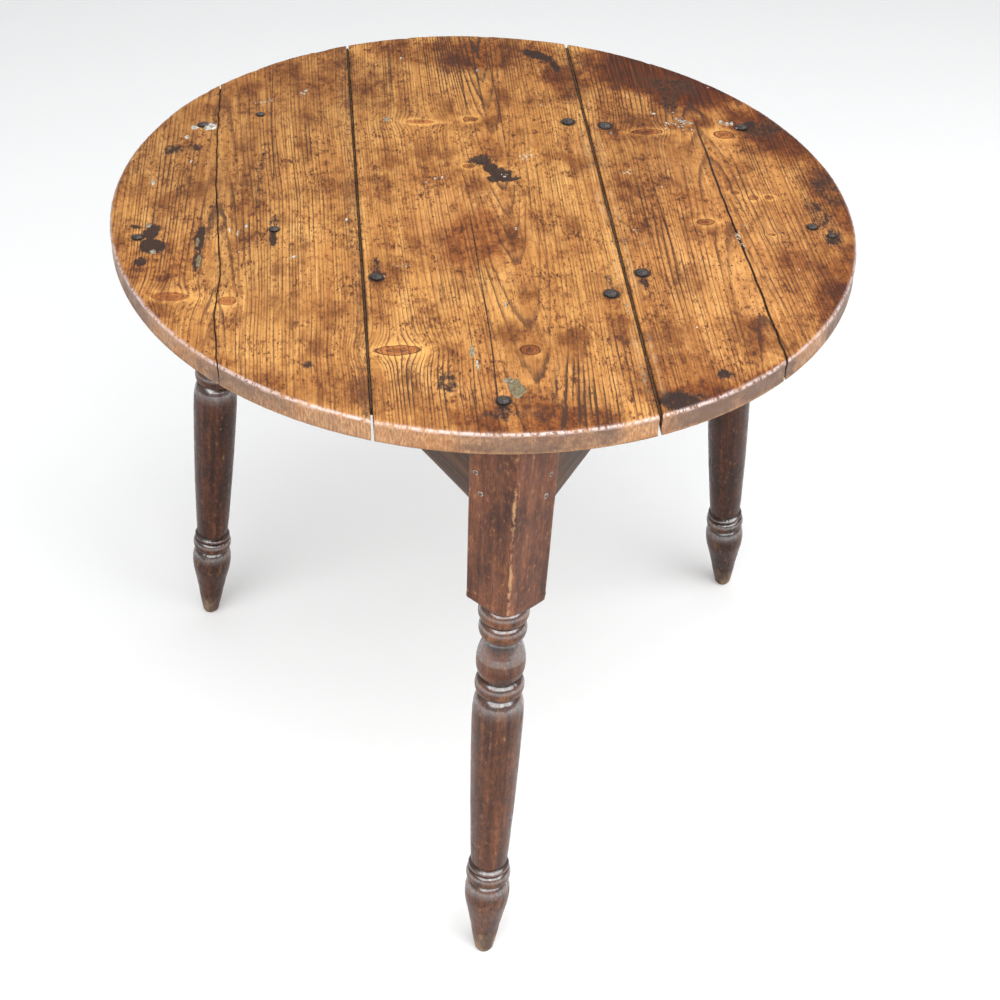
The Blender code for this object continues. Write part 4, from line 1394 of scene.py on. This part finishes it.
def make_putty(material):
    rng = np.random.default_rng(17)
    pieces = [lump(*spec, seed) for seed, spec in enumerate(LUMPS, start=400)]
    for x, y, wide, tall, count, size, tint in CRUMBS:
        for _ in range(count):
            dx, dy = rng.normal(0, 0.5, 2)
            grow = rng.uniform(0.5, 1.3) * size
            spec = (x + dx * wide, y + dy * tall, grow, grow * rng.uniform(0.8, 1.9), 0.3, tint)
            pieces.append(lump(*spec, int(rng.integers(500, 9000))))
    points, faces, tints = [], [], []
    for part, part_faces, part_tints in pieces:
        start = sum(len(p) for p in points)
        faces += [tuple(start + index for index in face) for face in part_faces]
        points.append(part)
        tints.append(part_tints)
    points = place_in_frame(np.concatenate(points))
    obj = add_mesh("paint_and_putty", points, faces, material, {"tint": np.concatenate(tints)}, 60)
    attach(obj, "root")


def leg_material():
    s = Shader("dark_turned_wood")
    local, *_ = s.attribute("local")
    _, wear, hollow, toe = s.attribute("marks")
    _, crest, up, gloss = s.attribute("place")
    squared = s.span(up, 0.486, 0.496)
    age_and_shade = s.node("ShaderNodeAttribute", {}, 2, attribute_name="age_and_shade")
    fine = s.noise(local, (900, 900, 30), 3.0, 0.6)
    pores = s.noise(local, (1500, 1500, 190), 3.0, 0.65)
    streak = s.noise(local, (170, 170, 6.0), 4.0, 0.62)
    broad = s.noise(local, (38, 38, 12), 4.0, 0.6)
    scuff = s.noise(local, (230, 230, 120), 5.0, 0.72)
    patch = s.noise(local, (60, 60, 34), 5.0, 0.68)
    base = s.add(s.times(s.add(streak, -0.5), s.span(squared, 0.0, 1.0, 0.55, 0.26)), s.swing(broad, 0.5))
    base = s.add(base, s.swing(scuff, 0.35))
    colour = s.ramp(
        s.add(base, 0.5),
        [
            (0.36, tone(54, 29, 19)),
            (0.46, tone(86, 49, 32)),
            (0.55, tone(114, 68, 45)),
            (0.68, tone(152, 98, 66)),
        ],
    )
    colour = s.mix(s.span(fine, 0.46, 0.70, 0.0, 0.50), colour, tone(46, 26, 19))
    colour = s.mix(s.span(pores, 0.56, 0.68, 0.0, 0.60), colour, tone(36, 21, 16))
    colour = s.mix(s.span(squared, 1.0, 0.0), colour, s.tint(colour, tone(206, 192, 164)))
    # The side legs get a darker, duller copy of the finish: partly age, partly painted shade.
    colour = s.mix(age_and_shade, colour, s.tint(colour, tone(194, 172, 148)))
    rubbed = s.add(s.times(crest, 0.40), s.swing(patch, 2.4))
    rubbed = s.add(rubbed, s.swing(scuff, 1.4))
    rubbed = s.times(s.span(rubbed, 0.20, 0.95), s.span(age_and_shade, 0.0, 1.0, 0.42, 0.20))
    colour = s.mix(rubbed, colour, tone(158, 104, 66))
    # Lighter along the block's arrises: partly real wear, partly a painted highlight.
    worn = s.add(wear, s.swing(scuff, 3.0))
    colour = s.mix(s.times(s.span(worn, 0.22, 0.95), 0.66), colour, tone(186, 146, 104))
    colour = s.mix(s.times(s.span(hollow, 0.15, 0.9), 0.78), colour, tone(30, 18, 14))
    bared = s.add(toe, s.swing(scuff, 1.8))
    bare = s.mix(s.span(patch, 0.40, 0.60), tone(84, 64, 50), tone(146, 124, 100))
    colour = s.mix(s.times(s.span(bared, 0.25, 1.0), 0.72), colour, bare)
    rough = s.span(s.add(scuff, s.swing(patch, 0.6)), 0.30, 0.70, 0.20, 0.44)
    rough = s.add(rough, s.times(s.most(s.times(toe, 0.8), s.times(hollow, 0.5)), 0.35))
    rough = s.add(rough, s.times(squared, 0.08))
    height = s.add(s.add(s.times(fine, 0.5), s.times(streak, 0.6)), s.times(pores, 0.35))
    normal = s.bump(height, 0.40, 0.00045)
    normal = s.bump(scuff, 0.30, 0.0009, normal)
    shine = s.times(gloss, s.span(scuff, 0.34, 0.60, 1.0, 0.55))
    specular = s.span(squared, 0.0, 1.0, 0.26, 0.22)
    return s.finish(
        Base_Color=colour,
        Roughness=rough,
        Specular_IOR_Level=specular,
        Coat_Weight=shine,
        Coat_IOR=2.6,
        Coat_Roughness=0.22,
        Normal=normal,
    )


def rail_material(name, dark, light, rough_low):
    s = Shader(name)
    local, *_ = s.attribute("local")
    _, wear, grime_and_shade, _ = s.attribute("marks")
    fine = s.noise(local, (30, 900, 900), 3.0, 0.6)
    streak = s.noise(local, (5, 170, 170), 4.0, 0.62)
    broad = s.noise(local, (14, 40, 30), 4.0, 0.6)
    saw = s.noise(local, (420, 24, 60), 2.0, 0.5)
    base = s.add(s.times(streak, 0.55), s.times(broad, 0.45))
    colour = s.mix(s.span(base, 0.34, 0.66), dark, light)
    colour = s.mix(s.span(fine, 0.45, 0.72, 0.0, 0.55), colour, tone(30, 21, 17))
    colour = s.mix(s.times(s.span(saw, 0.55, 0.72), 0.22), colour, light)
    colour = s.mix(s.times(wear, 0.45), colour, tone(150, 112, 82))
    # Darker along the top of each rail and of the batten, under the boards: painted shade.
    colour = s.mix(s.times(grime_and_shade, 0.55), colour, tone(26, 18, 15))
    rough = s.span(broad, 0.3, 0.7, rough_low, rough_low + 0.16)
    height = s.add(s.add(s.times(fine, 0.6), s.times(streak, 0.8)), s.times(saw, 0.7))
    normal = s.bump(height, 0.50, 0.0006)
    return s.finish(Base_Color=colour, Roughness=rough, Specular_IOR_Level=0.25, Normal=normal)


def peg_material():
    s = Shader("oak_pegs")
    local, x, y, _ = s.attribute("local")
    out = s.math("SQRT", s.add(s.times(x, x), s.times(y, y)))
    bands = s.math("SINE", s.add(s.times(x, 5200.0), s.times(s.noise(local, (600, 600, 200), 2.0), 6.0)))
    pores = s.noise(local, (2600, 2600, 400), 2.0, 0.6)
    grime = s.noise(local, (420, 420, 420), 4.0, 0.65)
    colour = s.mix(s.span(bands, -1.0, 1.0, 0.15, 0.85), tone(118, 98, 82), tone(76, 58, 46))
    colour = s.mix(s.span(pores, 0.50, 0.64, 0.0, 0.7), colour, tone(32, 22, 17))
    colour = s.mix(s.span(grime, 0.44, 0.62, 0.0, 0.8), colour, tone(40, 31, 27))
    colour = s.mix(s.span(out, PEG_RADIUS * 0.80, PEG_RADIUS * 0.98, 0.0, 0.85), colour, tone(24, 17, 14))
    # A pale ring on the peg's domed end, broken by grime: a painted highlight.
    pale_ring_highlight = s.times(s.span(out, PEG_RADIUS * 0.55, PEG_RADIUS * 0.78), s.span(grime, 0.50, 0.64, 0.95, 0.0))
    colour = s.mix(pale_ring_highlight, colour, tone(196, 186, 176))
    rough = s.span(grime, 0.3, 0.7, 0.34, 0.60)
    normal = s.bump(s.add(pores, grime), 0.5, 0.0003)
    return s.finish(Base_Color=colour, Roughness=rough, Specular_IOR_Level=0.5, Normal=normal)


def nail_material():
    s = Shader("iron_nails")
    local, x, y, _ = s.attribute("local")
    out = s.math("SQRT", s.add(s.times(x, x), s.times(y, y)))
    hammer = s.noise(local, (420, 420, 420), 2.0, 0.5)
    rust = s.noise(local, (900, 900, 900), 4.0, 0.65)
    colour = s.mix(s.span(hammer, 0.38, 0.66), tone(48, 43, 41), tone(96, 88, 83))
    colour = s.mix(s.span(rust, 0.54, 0.70, 0.0, 0.65), colour, tone(66, 46, 36))
    colour = s.mix(s.span(out, 0.0036, 0.0060, 0.0, 0.70), colour, tone(30, 25, 24))
    metal = s.span(rust, 0.50, 0.68, 0.45, 0.15)
    rough = s.span(s.add(rust, hammer), 0.75, 1.30, 0.20, 0.50)
    normal = s.bump(s.add(hammer, s.times(rust, 0.5)), 0.6, 0.0006)
    return s.finish(
        Base_Color=colour,
        Metallic=metal,
        Roughness=rough,
        Coat_Weight=0.6,
        Coat_Roughness=0.15,
        Normal=normal,
    )


def dirt_material():
    s = Shader("joint_dirt")
    local, *_ = s.attribute("local")
    crumbs = s.noise(local, (900, 500, 900), 5.0, 0.7)
    wide = s.noise(local, (120, 60, 120), 3.0, 0.6)
    colour = s.mix(s.span(crumbs, 0.40, 0.66), tone(64, 49, 39), tone(116, 92, 72))
    colour = s.mix(s.span(wide, 0.50, 0.66, 0.0, 0.6), colour, tone(116, 98, 80))
    return s.finish(
        Base_Color=colour, Roughness=0.85, Specular_IOR_Level=0.2, Normal=s.bump(crumbs, 0.9, 0.0012)
    )


def putty_material():
    s = Shader("paint_and_putty")
    tint, *_ = s.attribute("tint")
    where = s.node("ShaderNodeNewGeometry", {})
    grain = s.noise(where, (800, 600, 800), 4.0, 0.65)
    dirt = s.noise(where, (300, 240, 300), 5.0, 0.7)
    colour = s.mix(s.span(dirt, 0.42, 0.60, 0.0, 0.85), tint, tone(104, 76, 48))
    colour = s.mix(s.span(grain, 0.52, 0.66, 0.0, 0.7), colour, tone(58, 44, 32))
    return s.finish(
        Base_Color=colour, Roughness=s.span(grain, 0.3, 0.7, 0.40, 0.75), Normal=s.bump(grain, 0.6, 0.0005)
    )


CAMERA_PLACE = (-0.0971, -1.6111 + CENTRE_Y, 1.6698)
CAMERA_PITCH, CAMERA_YAW, CAMERA_ROLL = 39.82, 4.40, -1.92  # degrees
CAMERA_LENS_MM = 67.24
WORLD_STRENGTH = 0.30
FLOOR_HALF, FLOOR_LEVEL = 9, -0.0005


def add_camera():
    pitch, yaw, roll = (math.radians(angle) for angle in (CAMERA_PITCH, CAMERA_YAW, CAMERA_ROLL))
    ahead = Vector((math.sin(yaw) * math.cos(pitch), math.cos(yaw) * math.cos(pitch), -math.sin(pitch)))
    right = Vector((math.cos(yaw), -math.sin(yaw), 0))
    up = right.cross(ahead)
    camera_x = right * math.cos(roll) - up * math.sin(roll)
    camera_y = up * math.cos(roll) + right * math.sin(roll)
    data = bpy.data.cameras.new("camera")
    data.lens = CAMERA_LENS_MM
    data.sensor_width = 36
    camera = bpy.data.objects.new("camera", data)
    turned = Matrix((camera_x, camera_y, -ahead)).transposed().to_4x4()
    camera.matrix_world = Matrix.Translation(CAMERA_PLACE) @ turned
    bpy.context.scene.collection.objects.link(camera)
    bpy.context.scene.camera = camera


def add_light(name, place, aim, size, power, colour=(1, 1, 1)):
    data = bpy.data.lights.new(name, "AREA")
    data.shape = "RECTANGLE"
    data.size, data.size_y = size
    data.energy = power
    data.color = colour
    light = bpy.data.objects.new(name, data)
    light.location = place
    light.rotation_euler = (Vector(aim) - Vector(place)).to_track_quat("-Z", "Y").to_euler()
    bpy.context.scene.collection.objects.link(light)


def add_studio():
    world = bpy.data.worlds.new("studio")
    bpy.context.scene.world = world
    world.use_nodes = True
    background = world.node_tree.nodes["Background"]
    background.inputs[0].default_value = (0.97, 0.985, 1.0, 1.0)
    background.inputs[1].default_value = WORLD_STRENGTH
    add_light("front_sky", (0.35, -1.95, 2.90), (0, -0.2, 0.3), (7.0, 4.0), 290, (0.98, 0.99, 1.0))
    add_light("overhead", (0.1, 0.9, 2.7), (0, 0.2, 0.4), (2.6, 2.0), 12)
    bpy.context.scene.view_settings.view_transform = "Standard"
    s = Shader("studio_floor")
    material = s.finish(Base_Color=(0.95, 0.95, 0.945, 1.0), Roughness=0.80, Specular_IOR_Level=0.2)
    corners = [(x * FLOOR_HALF, y * FLOOR_HALF, FLOOR_LEVEL) for x, y in ((-1, -1), (1, -1), (1, 1), (-1, 1))]
    floor = add_mesh("floor", corners, [(0, 1, 2, 3)], material, smooth=False)


make_boards(pine_material())
legs = leg_material()
for leg_name in LEG_FEET:
    make_leg(leg_name, legs)
make_rails(rail_material("dark_rails", tone(56, 37, 27), tone(104, 75, 55), 0.50))
make_batten(rail_material("bare_batten", tone(96, 70, 50), tone(150, 118, 88), 0.66))
make_pegs(peg_material())
make_nails(nail_material())
make_joint_dirt(dirt_material())
make_putty(putty_material())
add_camera()
add_studio()
